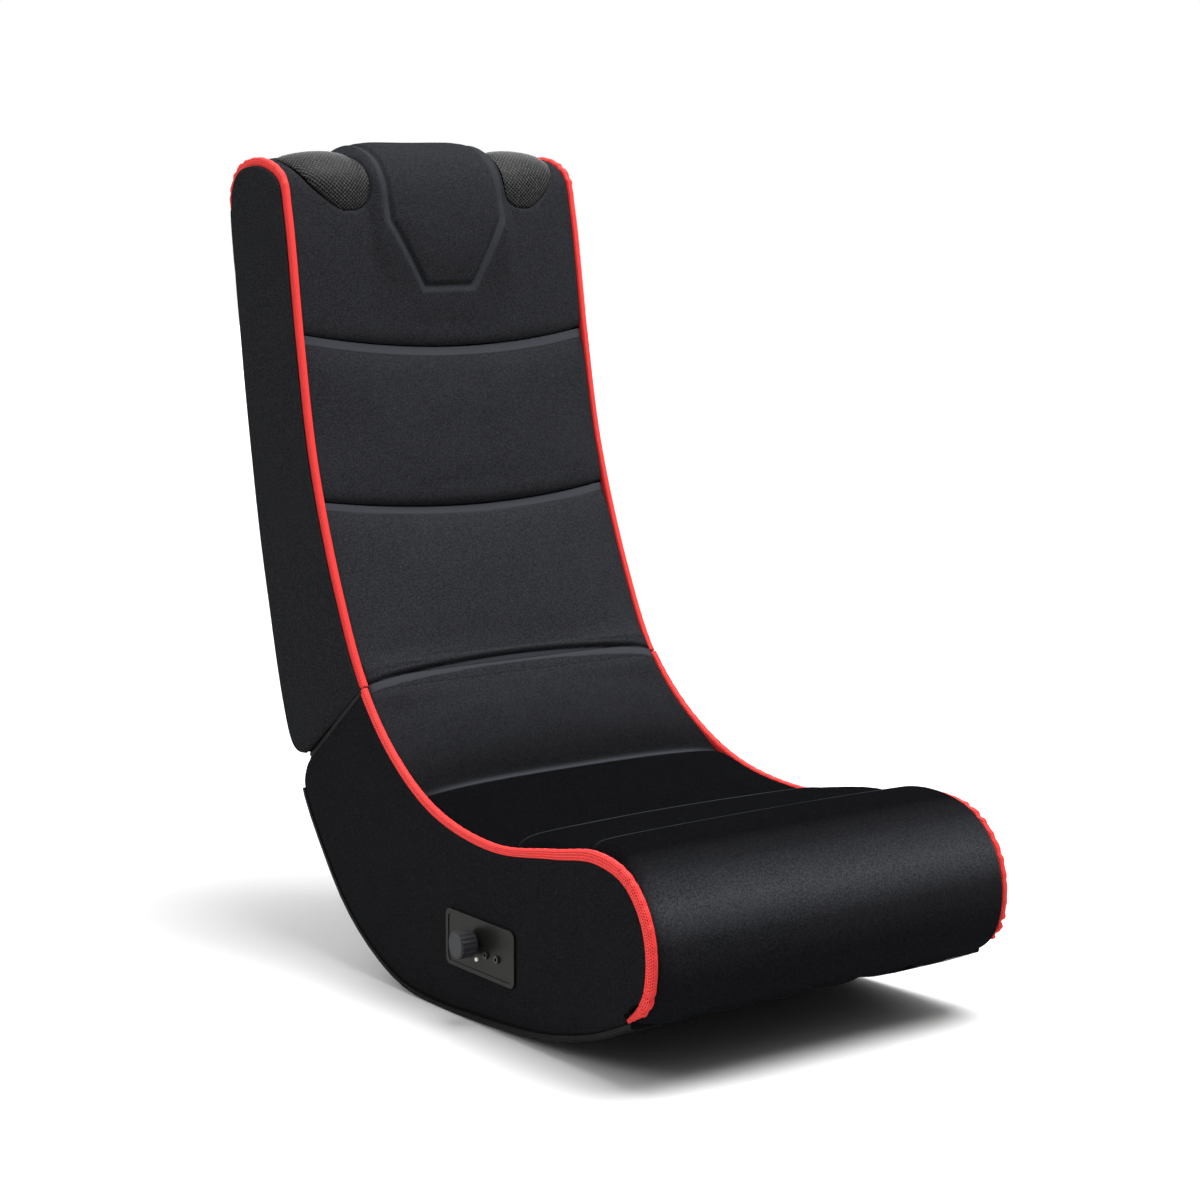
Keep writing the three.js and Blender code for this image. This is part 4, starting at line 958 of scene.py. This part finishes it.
class CHAIR_OT_pads(bpy.types.Operator):
    """Sewn fields of the seat and the back, with the front roll"""

    bl_idname = "chair.pads"
    bl_label = "Pads"

    def execute(self, context):
        for name, body, low, high, crown, edge, foot, head, rise, band, shade_shares in PADS:
            roll = name == "front_roll"
            low, high = low if roll else inset(low, 1), inset(high, -1)

            def height(u, x, above, below):
                if name == "back_pad_lower":
                    skin = crown_height(u, above + REACH, below, crown, edge, foot, head)
                    return beside_fold(u, low(u) - KNUCKLE + above, skin)
                if name == "seat_pad_rear":
                    skin = crown_height(u, above, below + REACH, crown, edge, foot, head)
                    return beside_fold(u, below, skin)
                return crown_height(u, above + REACH * roll, below, crown, edge, foot, head)

            piece = pad_block("cloth_" + name, body, DEPTHS[body], low, high, height)
            finish_pad(piece, body, low, high, shade_shares, gathers if roll else None, rise, band, head is EDGED)
        return {"FINISHED"}


class CHAIR_OT_headrest(bpy.types.Operator):
    """Headrest over the top of the back, with the bevelled shield and the hollows for the speakers"""

    bl_idname = "chair.headrest"
    bl_label = "Headrest"

    def execute(self, context):
        crease = inset(HEAD_CREASE, 1)

        def height(u, x, above, below):
            return head_height(u, x, above, BACK_END - below)

        piece = pad_block("cloth_headrest_pad", "back", BACK_PAD, crease, bow(BACK_END, 0), height)

        def detail(u, x, distance):
            inside = in_shield(x, distance - UPPER)
            wide = size("band")
            slope = np.clip(inside / wide, 0, 1)
            dome = 0.75 + 0.25 * smooth(inside, wide, wide + SHIELD_DOME)
            raised = dome * smooth(inside, wide, wide + SHIELD_STEP)
            level = size("press") * (1.35 * raised - 0.8 * slope**1.5)
            hollow = smooth(in_grille(x, distance), *HOLLOW_RUN)
            # Painted highlight on the bevel round the shield, from its outline to near its inner side.
            shine = smooth(inside, *SHINE_RUN) * (1 - smooth(inside, wide - SHINE_RUN[1], wide))
            return level - size("hollow") * hollow, 0.4 * shine

        finish_pad(piece, "back", crease, bow(BACK_END + HEAD_PAST, 0), HEAD_PAINTED_SHADE, detail)
        return {"FINISHED"}


class CHAIR_OT_speaker_meshes(bpy.types.Operator):
    """Bulged teardrops of open mesh over the speakers"""

    bl_idname = "chair.speaker_meshes"
    bl_label = "Speaker meshes"

    def execute(self, context):
        for word, side in SIDES:
            piece = grid(f"cloth_speaker_mesh_{word}", 30, 34)
            co = points(piece)
            share = 2 * co[:, 0] - 1
            along = np.sin((co[:, 1] - 0.5) * math.pi)
            distance = SPEAKER_AT + along * GRILLE_REACH
            inner, outer, _ = grille_sides(distance)
            across = np.sin(share * math.pi / 2)
            x = (inner + outer) / 2 + (outer - inner) / 2 * across
            dome = (1 - along**2) * (1 - across**2)
            narrow = narrow_at("back", distance)
            skin = head_height(np.minimum(x / narrow, 1), x, distance - UPPER, distance)
            height = skin - GRILLE_THICK + GRILLE_BULGE * np.sqrt(dome)
            move_points(piece, np.column_stack([side * x, EDGE.at(distance, height)]))
            write_uv(piece, x, distance)
            modify(piece, "SOLIDIFY", thickness=GRILLE_THICK, offset=-side)
            refine(piece)
            shape(piece, outwards)
            dress(piece, "back", MATERIALS["grille"], [f"speaker_mesh_{word}"])
        return {"FINISHED"}


def tube_along(name, ring, at):
    """A closed band through stations: ring gives x, y, z and the girth at an angle and a distance."""
    piece = grid(name, TUBE_SIDES, len(at) - 1)
    co = points(piece)
    angle = 2 * math.pi * co[:, 0]
    distance = at[np.rint(co[:, 1] * (len(at) - 1)).astype(int)]
    x, y, z, round_length = ring(angle, distance)
    move_points(piece, np.column_stack([x, y, z]))
    write_uv(piece, distance, co[:, 0] * round_length)

    def close():
        weld()
        bpy.ops.mesh.select_mode(type="EDGE")
        bpy.ops.mesh.select_all(action="DESELECT")
        bpy.ops.mesh.select_non_manifold(extend=False)
        bpy.ops.mesh.fill_holes(sides=0)
        bpy.ops.mesh.select_all(action="SELECT")
        outwards()
        bpy.ops.mesh.select_mode(type="VERT")

    shape(piece, close)
    return piece


def band_front(distance):
    """Width of the piping on the pads' side: wider round the roll."""
    return PIPING_FRONT + PIPING_FRONT_MORE * smooth(-distance, *PIPING_FRONT_RUN)


def band_drop(distance):
    """Depth of the piping on the side panels: deeper round the roll and at the top."""
    roll, top = smooth(-distance, *PIPING_ROLL_RUN), smooth(distance, *PIPING_TOP_RUN)
    return PIPING_DROP + PIPING_ROLL_MORE * roll + PIPING_TOP_MORE * top


def piping(name, body, low, high, side):
    """Flat ribbed band along one edge, gathered where the edge turns tightly."""
    half = HALVES[body]

    def ring(angle, distance):
        turn = EDGE.normal(distance + PIPING_BEND) - EDGE.normal(distance - PIPING_BEND)
        bend = smooth(np.linalg.norm(turn, axis=1), 0.2, 0.5)
        coarse, fine = (np.sin(distance * count + k) for k, count in enumerate(PIPING_GATHERS))
        left = np.minimum(distance - SEAT_END, BACK_END - distance)
        strength = size("pucker") * PIPING_GATHER_SHARES[body]
        pucker = strength * (0.12 + bend) * (coarse + 0.5 * fine) * smooth(left, *PIPING_CALM_RUN)
        end = 1 - 0.65 * (1 - smooth(left, PIPING_PAST, PIPING_END[body]))
        front, drop = band_front(distance) * end, band_drop(distance) * end**2
        rx, rh = (front + PIPING_OUT) / 2, (PIPING_RISE + drop) / 2
        power = PIPING_SQUARE
        box = (np.abs(np.cos(angle)) ** power + np.abs(np.sin(angle)) ** power) ** (-1 / power)
        seam = 1 - PIPING_SEAM_SHARE * np.exp(-(((angle - math.radians(PIPING_SEAM_AT)) / 0.1) ** 2))
        x = (PIPING_OUT - front) / 2 + rx * box * np.cos(angle) * seam + 0.5 * pucker
        h = (PIPING_RISE - drop) / 2 + rh * box * np.sin(angle) * seam + pucker - PIPING_SINK * (1 - end)
        at = EDGE.at(distance, h)
        return side * (half(at[:, 0], at[:, 1]) + x), at[:, 0], at[:, 1], 2 * math.pi * PIPING_ROUND

    piece = tube_along("cloth_" + name, ring, np.arange(low, high, PIPING_STEP))
    dress(piece, body, MATERIALS["piping"], [name])


class CHAIR_OT_piping(bpy.types.Operator):
    """Red edge bands of the seat and the back"""

    bl_idname = "chair.piping"
    bl_label = "Piping"

    def execute(self, context):
        for word, side in SIDES:
            piping(f"seat_piping_{word}", "seat", SEAT_END, -PIPING_FOLD, side)
            piping(f"back_piping_{word}", "back", PIPING_FOLD, BACK_END, side)
        return {"FINISHED"}


def side_panel(name, body, side, top, foot, window=None):
    """A puffed side cover between two lines of the side view; window is 0 where it does not puff out."""
    piece = grid("cloth_" + name, 40, 140)
    co = points(piece)
    u, v = co[:, 0], co[:, 1]
    a, b = top(v), foot(v)
    at = a + (b - a) * u[:, None]
    near = np.minimum((1 - u) * np.linalg.norm(b - a, axis=1), v * COVER_END_SHARE)
    puff = size("side_puff") * smooth(near, *COVER_RUN) - COVER_TUCK * (1 - smooth(near, 0, COVER_EDGE))
    puff += COVER_WAVE * wander(at[:, 0], at[:, 1])
    if window:
        puff *= window(at)
    move_points(piece, np.column_stack([side * (HALVES[body](at[:, 0], at[:, 1]) + puff), at]))
    write_uv(piece, at[:, 0], at[:, 1])
    shape(piece, weld)
    modify(piece, "SOLIDIFY", thickness=COVER - GAP, offset=side)
    shape(piece, outwards)
    # The seat's covers get painted shade, darker than the back's.
    if body == "seat":
        keep(piece, "worn", np.full(len(points(piece)), SEAT_COVER_PAINTED_SHADE))
    dress(piece, body, MATERIALS["side"], [name])


def off_plate(at):
    """0 under the control plate, 1 away from it."""
    low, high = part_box("control_plate")
    dy = np.maximum(low.y - at[:, 0], at[:, 0] - high.y)
    dz = np.maximum(low.z - at[:, 1], at[:, 1] - high.z)
    return smooth(np.maximum(dy, dz), *PLATE_RUN)


def under_piping(end):
    """The line from the fold to an end of the edge, under the piping's lower side."""

    def line(v):
        at = end * v
        return EDGE.at(at, COVER_TUCK - band_drop(at))

    return line


def over_rail(v):
    return BASE.at(-BASE.length * v**FOOT_CROWDING, -RAIL_THICK - GAP)


def rear_edge(v):
    return REAR.at(REAR.length * (v - 1), 0)


class CHAIR_OT_side_covers(bpy.types.Operator):
    """Black side panels of the seat and the back"""

    bl_idname = "chair.side_covers"
    bl_label = "Side covers"

    def execute(self, context):
        for word, side in SIDES:
            window = off_plate if word == "right" else None
            side_panel(f"seat_side_cover_{word}", "seat", side, under_piping(SEAT_END), over_rail, window)
            side_panel(f"back_side_cover_{word}", "back", side, under_piping(BACK_END), rear_edge)
        return {"FINISHED"}


def along_seam(depth, offset):
    """(y, z) on the slanted seam: depth from the hinge's axis, offset towards the back."""
    way = np.array([SEAM_END_Y - AXIS_Y, SEAM_END_Z - AXIS_Z])
    way /= np.linalg.norm(way)
    across = np.array([-way[1], way[0]])
    return np.array([AXIS_Y, AXIS_Z]) + np.outer(depth, way) + np.outer(offset, across)


class CHAIR_OT_seam_bindings(bpy.types.Operator):
    """Bound edges and facings of the slanted seam"""

    bl_idname = "chair.seam_bindings"
    bl_label = "Seam bindings"

    def execute(self, context):
        for body, way in (("seat", -1), ("back", 1)):
            for word, side in SIDES:
                self.binding(body, way, word, side)
            self.facing(body, way)
        return {"FINISHED"}

    def binding(self, body, way, word, side):
        """A tape along the seam's edge at one side, which swells from the hinge outwards."""

        def ring(angle, depth):
            swell = BINDING_SWELL * np.sqrt(smooth(depth, 0, BINDING_SWELL_RUN))
            swell += BINDING_MORE * smooth(depth, BINDING_MORE_FROM, SEAM_LENGTH)
            a = along_seam(depth, np.zeros(len(depth)))
            at = along_seam(depth, way * (swell + GAP) + swell * np.cos(angle))
            x = HALVES[body](a[:, 0], a[:, 1]) - BINDING_SINK + BINDING_HALF * np.sin(angle)
            return side * x, at[:, 0], at[:, 1], 2 * math.pi * BINDING_HALF

        stations = np.arange(BINDING_START, SEAM_LENGTH + BINDING_OVER, BINDING_STEP)
        piece = tube_along(f"{body}_seam_binding_{word}", ring, stations)
        dress(piece, body, MATERIALS["tape"])

    def facing(self, body, way):
        """The cloth on one side of the seam, behind the hinges."""
        piece = grid(f"cloth_{body}_seam_facing", 60, 24)
        co = points(piece)
        long = SEAM_LENGTH - FACING_START - FACING_CLEAR
        depth = FACING_START + long * co[:, 1]
        sag = FACING_SAG * np.sin(40 * co[:, 0]) * np.sin(math.pi * co[:, 1])
        at = along_seam(depth, way * (FACING_OFF + sag))
        x = (2 * co[:, 0] - 1) * (HALVES[body](at[:, 0], at[:, 1]) - COVER - GAP)
        move_points(piece, np.column_stack([x, at]))
        write_uv(piece, x, depth)
        modify(piece, "SOLIDIFY", thickness=FACING_THICK, offset=0)
        shape(piece, outwards)
        dress(piece, body, MATERIALS["lining"], [f"{body}_seam_facing"])


def band_sheet(name, body, line, low, high, height, thick, across=60, margin=SHEET_INSET, step=SHEET_STEP):
    """A sheet across the chair along a line of the side view, at a height over it."""
    piece = grid(name, across, max(8, round((high - low) / step)))
    co = points(piece)
    distance = low + (high - low) * co[:, 1]
    share = 2 * co[:, 0] - 1
    at = line.at(distance, height(share, distance))
    x = share * (HALVES[body](at[:, 0], at[:, 1]) - margin)
    move_points(piece, np.column_stack([x, at]))
    write_uv(piece, x, distance)
    modify(piece, "SOLIDIFY", thickness=thick, offset=0)
    shape(piece, outwards)
    return piece


class CHAIR_OT_covers(bpy.types.Operator):
    """Cover behind the back, lining under the seat and the strip in the fold"""

    bl_idname = "chair.covers"
    bl_label = "Rear cover and linings"

    def execute(self, context):
        self.rear_cover()
        self.base_lining()
        self.fold_strip()
        return {"FINISHED"}

    def rear_cover(self):
        """Taut cover behind the back, tucked in at its sides."""

        def taut(share, distance):
            tucked = REAR_TUCK * (1 - smooth(1 - np.abs(share), 0, 0.03))
            return REAR_OUT - tucked + REAR_WAVE * wander(0.16 * share, distance)

        low = -REAR.length
        piece = band_sheet("cloth_back_rear_cover", "back", REAR, low, 0, taut, REAR_THICK, across=80)
        dress(piece, "back", MATERIALS["side"], ["back_rear_cover"])

    def base_lining(self):
        """Lining over the rails, turned up where it starts at the seam."""

        def lining(share, distance):
            sag = LINING_SAG * np.sin(9 * share + 30 * distance) * (1 - np.abs(share) ** 4)
            turned = LINING_TURN * (1 - smooth(-distance, 0, LINING_TURN_RUN))
            return sag * smooth(-distance, 0, LINING_SAG_RUN) + turned - RAIL_THICK - LINING_CLEAR

        low, high = -BASE.length, -LINING_THICK
        piece = band_sheet("cloth_seat_base_lining", "seat", BASE, low, high, lining, LINING_THICK)
        dress(piece, "seat", MATERIALS["lining"], ["seat_base_lining"])

    def fold_strip(self):
        """Skin that arches over the hinges from the seat to the back, with a crease in it, a painted
        highlight below the crease and painted shade above it.
        """
        crease = bow(STRIP_CREASE, FOLD_BOW)
        low, high = STRIP_START, STRIP_END

        def arch(share, distance):
            past = distance - crease(share)
            top = np.maximum(over_fold(distance) + STRIP_OVER, STRIP_ARCH - STRIP_ARCH_FALL * distance**2)
            top = top + STRIP_LIP * smooth(past, 0, STRIP_LIP) * (1 - smooth(past, *STRIP_LIP_RUN))
            tucked = smooth(np.minimum(distance - low, high - distance), 0, STRIP_HEM) - 1
            return (1 - np.abs(share) ** FOLD_EDGE) * top + STRIP_TUCK * tucked

        more = {"margin": STRIP_INSET, "step": STRIP_STEP}
        piece = band_sheet("fold_strip", "seat", EDGE, low, high, arch, STRIP_THICK, **more)
        co = points(piece)
        run = EDGE.locate(co[:, 1], co[:, 2])[0]
        past = run - crease(co[:, 0] / narrow_at("seat", run))
        # Painted highlight along the strip below its crease.
        shine = smooth(past, *STRIP_SHINE_RUN) * (1 - smooth(past, -SEAM_HALF, SEAM_HALF))
        keep(piece, "pressed", MOST_SHINE * shine)
        # Painted shade just above the crease, on top of the painted shade over the whole strip.
        dark = smooth(past, 0, STRIP_OVER) * (1 - smooth(past, *STRIP_DARK_RUN))
        keep(piece, "worn", STRIP_PAINTED_SHADE + 0.5 * dark)
        dress(piece, None, MATERIALS["pad"])
        a, b = (EDGE.at(d, 0)[0] for d in (-BLEND_HALF, BLEND_HALF))
        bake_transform(piece)


class CHAIR_OT_roll_core(bpy.types.Operator):
    """Foam core inside the front roll"""

    bl_idname = "chair.roll_core"
    bl_label = "Roll core"

    def execute(self, context):
        use(NODES["front_roll_core"])
        bpy.ops.object.duplicate()
        piece = context.object
        piece.name = "foam_front_roll_core"
        modify(piece, "REMESH", mode="VOXEL", voxel_size=CORE_CELL)
        modify(piece, "SMOOTH", factor=0.5, iterations=3)
        co = points(piece)
        write_uv(piece, co[:, 0], co[:, 2])
        dress(piece, "seat", MATERIALS["foam"], ["front_roll_core"])
        return {"FINISHED"}


FINISHES = {
    "rail": ("rocker_rail", "amplifier_box"),
    "plywood": (
        "seat_side_board", "back_side_board", "seat_rear_rail", "seat_middle_rail", "seat_front_board",
        "back_lower_rail", "back_middle_rail", "back_upper_rail",
    ),
    "hardboard": ("seat_deck",),
    "greyboard": ("back_deck",),
    "cup": ("speaker_cup", "input_jack", "output_jack"),
    "cone": ("speaker_cone",),
    "steel": (
        "speaker_magnet", "seat_hinge_leaf", "back_hinge_leaf", "hinge_pin", "volume_bush", "volume_shaft",
    ),
    "plate": ("control_plate",),
    "knob": ("volume_knob",),
    "lens": ("power_light",),
}


class CHAIR_OT_rails(bpy.types.Operator):
    """Finishes of the rails, boards, hinges and electrics that the part already has"""

    bl_idname = "chair.rails"
    bl_label = "Frame finishes"

    def execute(self, context):
        for word, stems in FINISHES.items():
            for name, node in NODES.items():
                if name.startswith(stems):
                    node.data.materials.clear()
                    node.data.materials.append(MATERIALS[word])
        return {"FINISHED"}


FLOOR_SIZE = 20
PALE = (6.5, 7.2, 0)  # the floor behind the chair, as the photograph's camera sees it
# Name, place, what it points at, width and the size that holds its power
LIGHTS = (
    ("key", (0.6, -0.75, 3.2), (0, 0, 0.4), 2.2, "key_light"),
    ("side", (-2.4, 0.7, 1.7), (0, 0, 0.4), 1.2, "side_light"),
    ("backdrop", (6.5, 7.2, 3), PALE, 10, "backdrop_light"),
)


class CHAIR_OT_stage(bpy.types.Operator):
    """Pale floor, soft studio light and the photograph's camera"""

    bl_idname = "chair.stage"
    bl_label = "Stage"

    def execute(self, context):
        context.scene.view_settings.view_transform = "Standard"
        floor = grid("floor", 12, 12)
        move_points(floor, (points(floor) - (0.5, 0.5, 0)) * (FLOOR_SIZE, FLOOR_SIZE, 0))
        dress(floor, None, MATERIALS["floor"])
        self.world(context.scene)
        for name, place, aim, wide, power in LIGHTS:
            light = bpy.data.lights.new(name, "AREA")
            light.size = wide
            light.energy = size(power)
            lamp = self.add(name, light, place)
            lamp.rotation_euler = (Vector(aim) - lamp.location).to_track_quat("-Z", "Y").to_euler()
            lamp.visible_camera = False
        camera = bpy.data.cameras.new("camera")
        camera.lens = CAMERA_LENS
        eye = self.add("camera", camera, CAMERA_PLACE)
        eye.rotation_euler = (math.radians(90 - CAMERA_TILT), 0, -math.radians(CAMERA_TURN))
        context.scene.camera = eye
        return {"FINISHED"}

    def add(self, name, data, place):
        """Links a light or a camera into the scene at its place."""
        made = bpy.data.objects.new(name, data)
        bpy.context.scene.collection.objects.link(made)
        made.location = place
        return made

    def world(self, scene):
        """A room that is dark in front, light behind and along the horizon, under a glowing ceiling."""
        world = bpy.data.worlds.new("Studio")
        scene.world = world
        world.use_nodes = True
        tree = world.node_tree
        way = put(tree, "SeparateXYZ", {0: put(tree, "TexCoord").outputs["Generated"]}).outputs
        wall = ramp(tree, way["Y"], -0.1, 0.3, size("fill_light"), 1)
        ceiling = ramp(tree, way["Z"], 0.5, 0.9, 0, size("ceiling_light"))
        horizon = ramp(tree, maths(tree, "ABSOLUTE", way["Z"]), 0.1, 0.2, 0.5, 0)
        room = maths(tree, "ADD", maths(tree, "MAXIMUM", wall, horizon), ceiling)
        feed(tree, tree.nodes["Background"].inputs, {"Color": (1, 1, 1, 1), "Strength": room})


def length_prop(name, default, description):
    return bpy.props.FloatProperty(
        name=name, description=description, default=default, unit="LENGTH", precision=4,
    )


def light_prop(name, default, description):
    return bpy.props.FloatProperty(name=name, description=description, default=default)


def colour_prop(name, default, description):
    return bpy.props.FloatVectorProperty(
        name=name, description=description, default=default, subtype="COLOR", size=3, min=0, max=1,
    )


class ChairSizes(bpy.types.PropertyGroup):
    """Sizes that a user would change"""

    cell: length_prop("Pad cell", 0.006, "Spacing of the points of a pad before it is refined")
    puff: length_prop("Puff", 0.0025, "Most that a pad's skin swells")
    side_puff: length_prop("Side puff", 0.0012, "Swell of the side covers")
    band: length_prop("Shield band", 0.0085, "Width of the bevel round the shield")
    press: length_prop("Press depth", 0.0035, "Depth of the bevel at its inner side")
    hollow: length_prop("Speaker hollow", 0.0045, "Depth of the hollows under the speaker mesh")
    pucker: length_prop("Pucker", 0.0011, "Height of the gathers where the piping turns tightly")
    key_light: light_prop("Key light", 260, "Power of the key light")
    backdrop_light: light_prop("Backdrop", 950, "Power over the floor behind")
    side_light: light_prop("Side light", 22, "Power of the side light")
    ceiling_light: light_prop("Ceiling", 0.8, "Strength of the ceiling's glow")
    fill_light: light_prop("Fill light", 0.15, "Strength of the room in front")


class ChairColours(bpy.types.PropertyGroup):
    """Colours that a user would change"""

    pads: colour_prop("Pads", (0.0117, 0.0121, 0.0137), "Knit of the pads")
    # Tone of the painted highlights along the channels, on the ridges and round the shield
    strips: colour_prop("Bands", (0.034, 0.036, 0.042), "Pressed bands along the channels")
    sides: colour_prop("Sides", (0.006, 0.0062, 0.0067), "Knit of the side covers")
    piping: colour_prop("Piping", (0.85, 0.05, 0.046), "Threads of the red piping")


class CHAIR_PT_panel(bpy.types.Panel):
    """Lists the chair's operators in the sidebar"""

    bl_idname = "CHAIR_PT_panel"
    bl_label = "Rocker chair"
    bl_space_type = "VIEW_3D"
    bl_region_type = "UI"
    bl_category = "Rocker chair"

    def draw(self, context):
        for operator in OPERATORS:
            self.layout.operator(operator.bl_idname)
        for group in (context.scene.chair_sizes, context.scene.chair_colours):
            for key in group.__annotations__:
                self.layout.prop(group, key)


OPERATORS = (
    CHAIR_OT_stage, CHAIR_OT_pads, CHAIR_OT_headrest, CHAIR_OT_speaker_meshes, CHAIR_OT_piping,
    CHAIR_OT_side_covers, CHAIR_OT_seam_bindings, CHAIR_OT_covers, CHAIR_OT_roll_core, CHAIR_OT_rails,
)


def register():
    for part in (ChairSizes, ChairColours, *OPERATORS, CHAIR_PT_panel):
        bpy.utils.register_class(part)
    bpy.types.Scene.chair_sizes = bpy.props.PointerProperty(type=ChairSizes)
    bpy.types.Scene.chair_colours = bpy.props.PointerProperty(type=ChairColours)


def unregister():
    del bpy.types.Scene.chair_colours
    del bpy.types.Scene.chair_sizes
    for part in reversed((ChairSizes, ChairColours, *OPERATORS, CHAIR_PT_panel)):
        bpy.utils.unregister_class(part)


def main():
    register()
    build_materials()
    for operator in OPERATORS:
        group, name = operator.bl_idname.split(".")
        getattr(getattr(bpy.ops, group), name)()


if __name__ == "__main__":
    main()
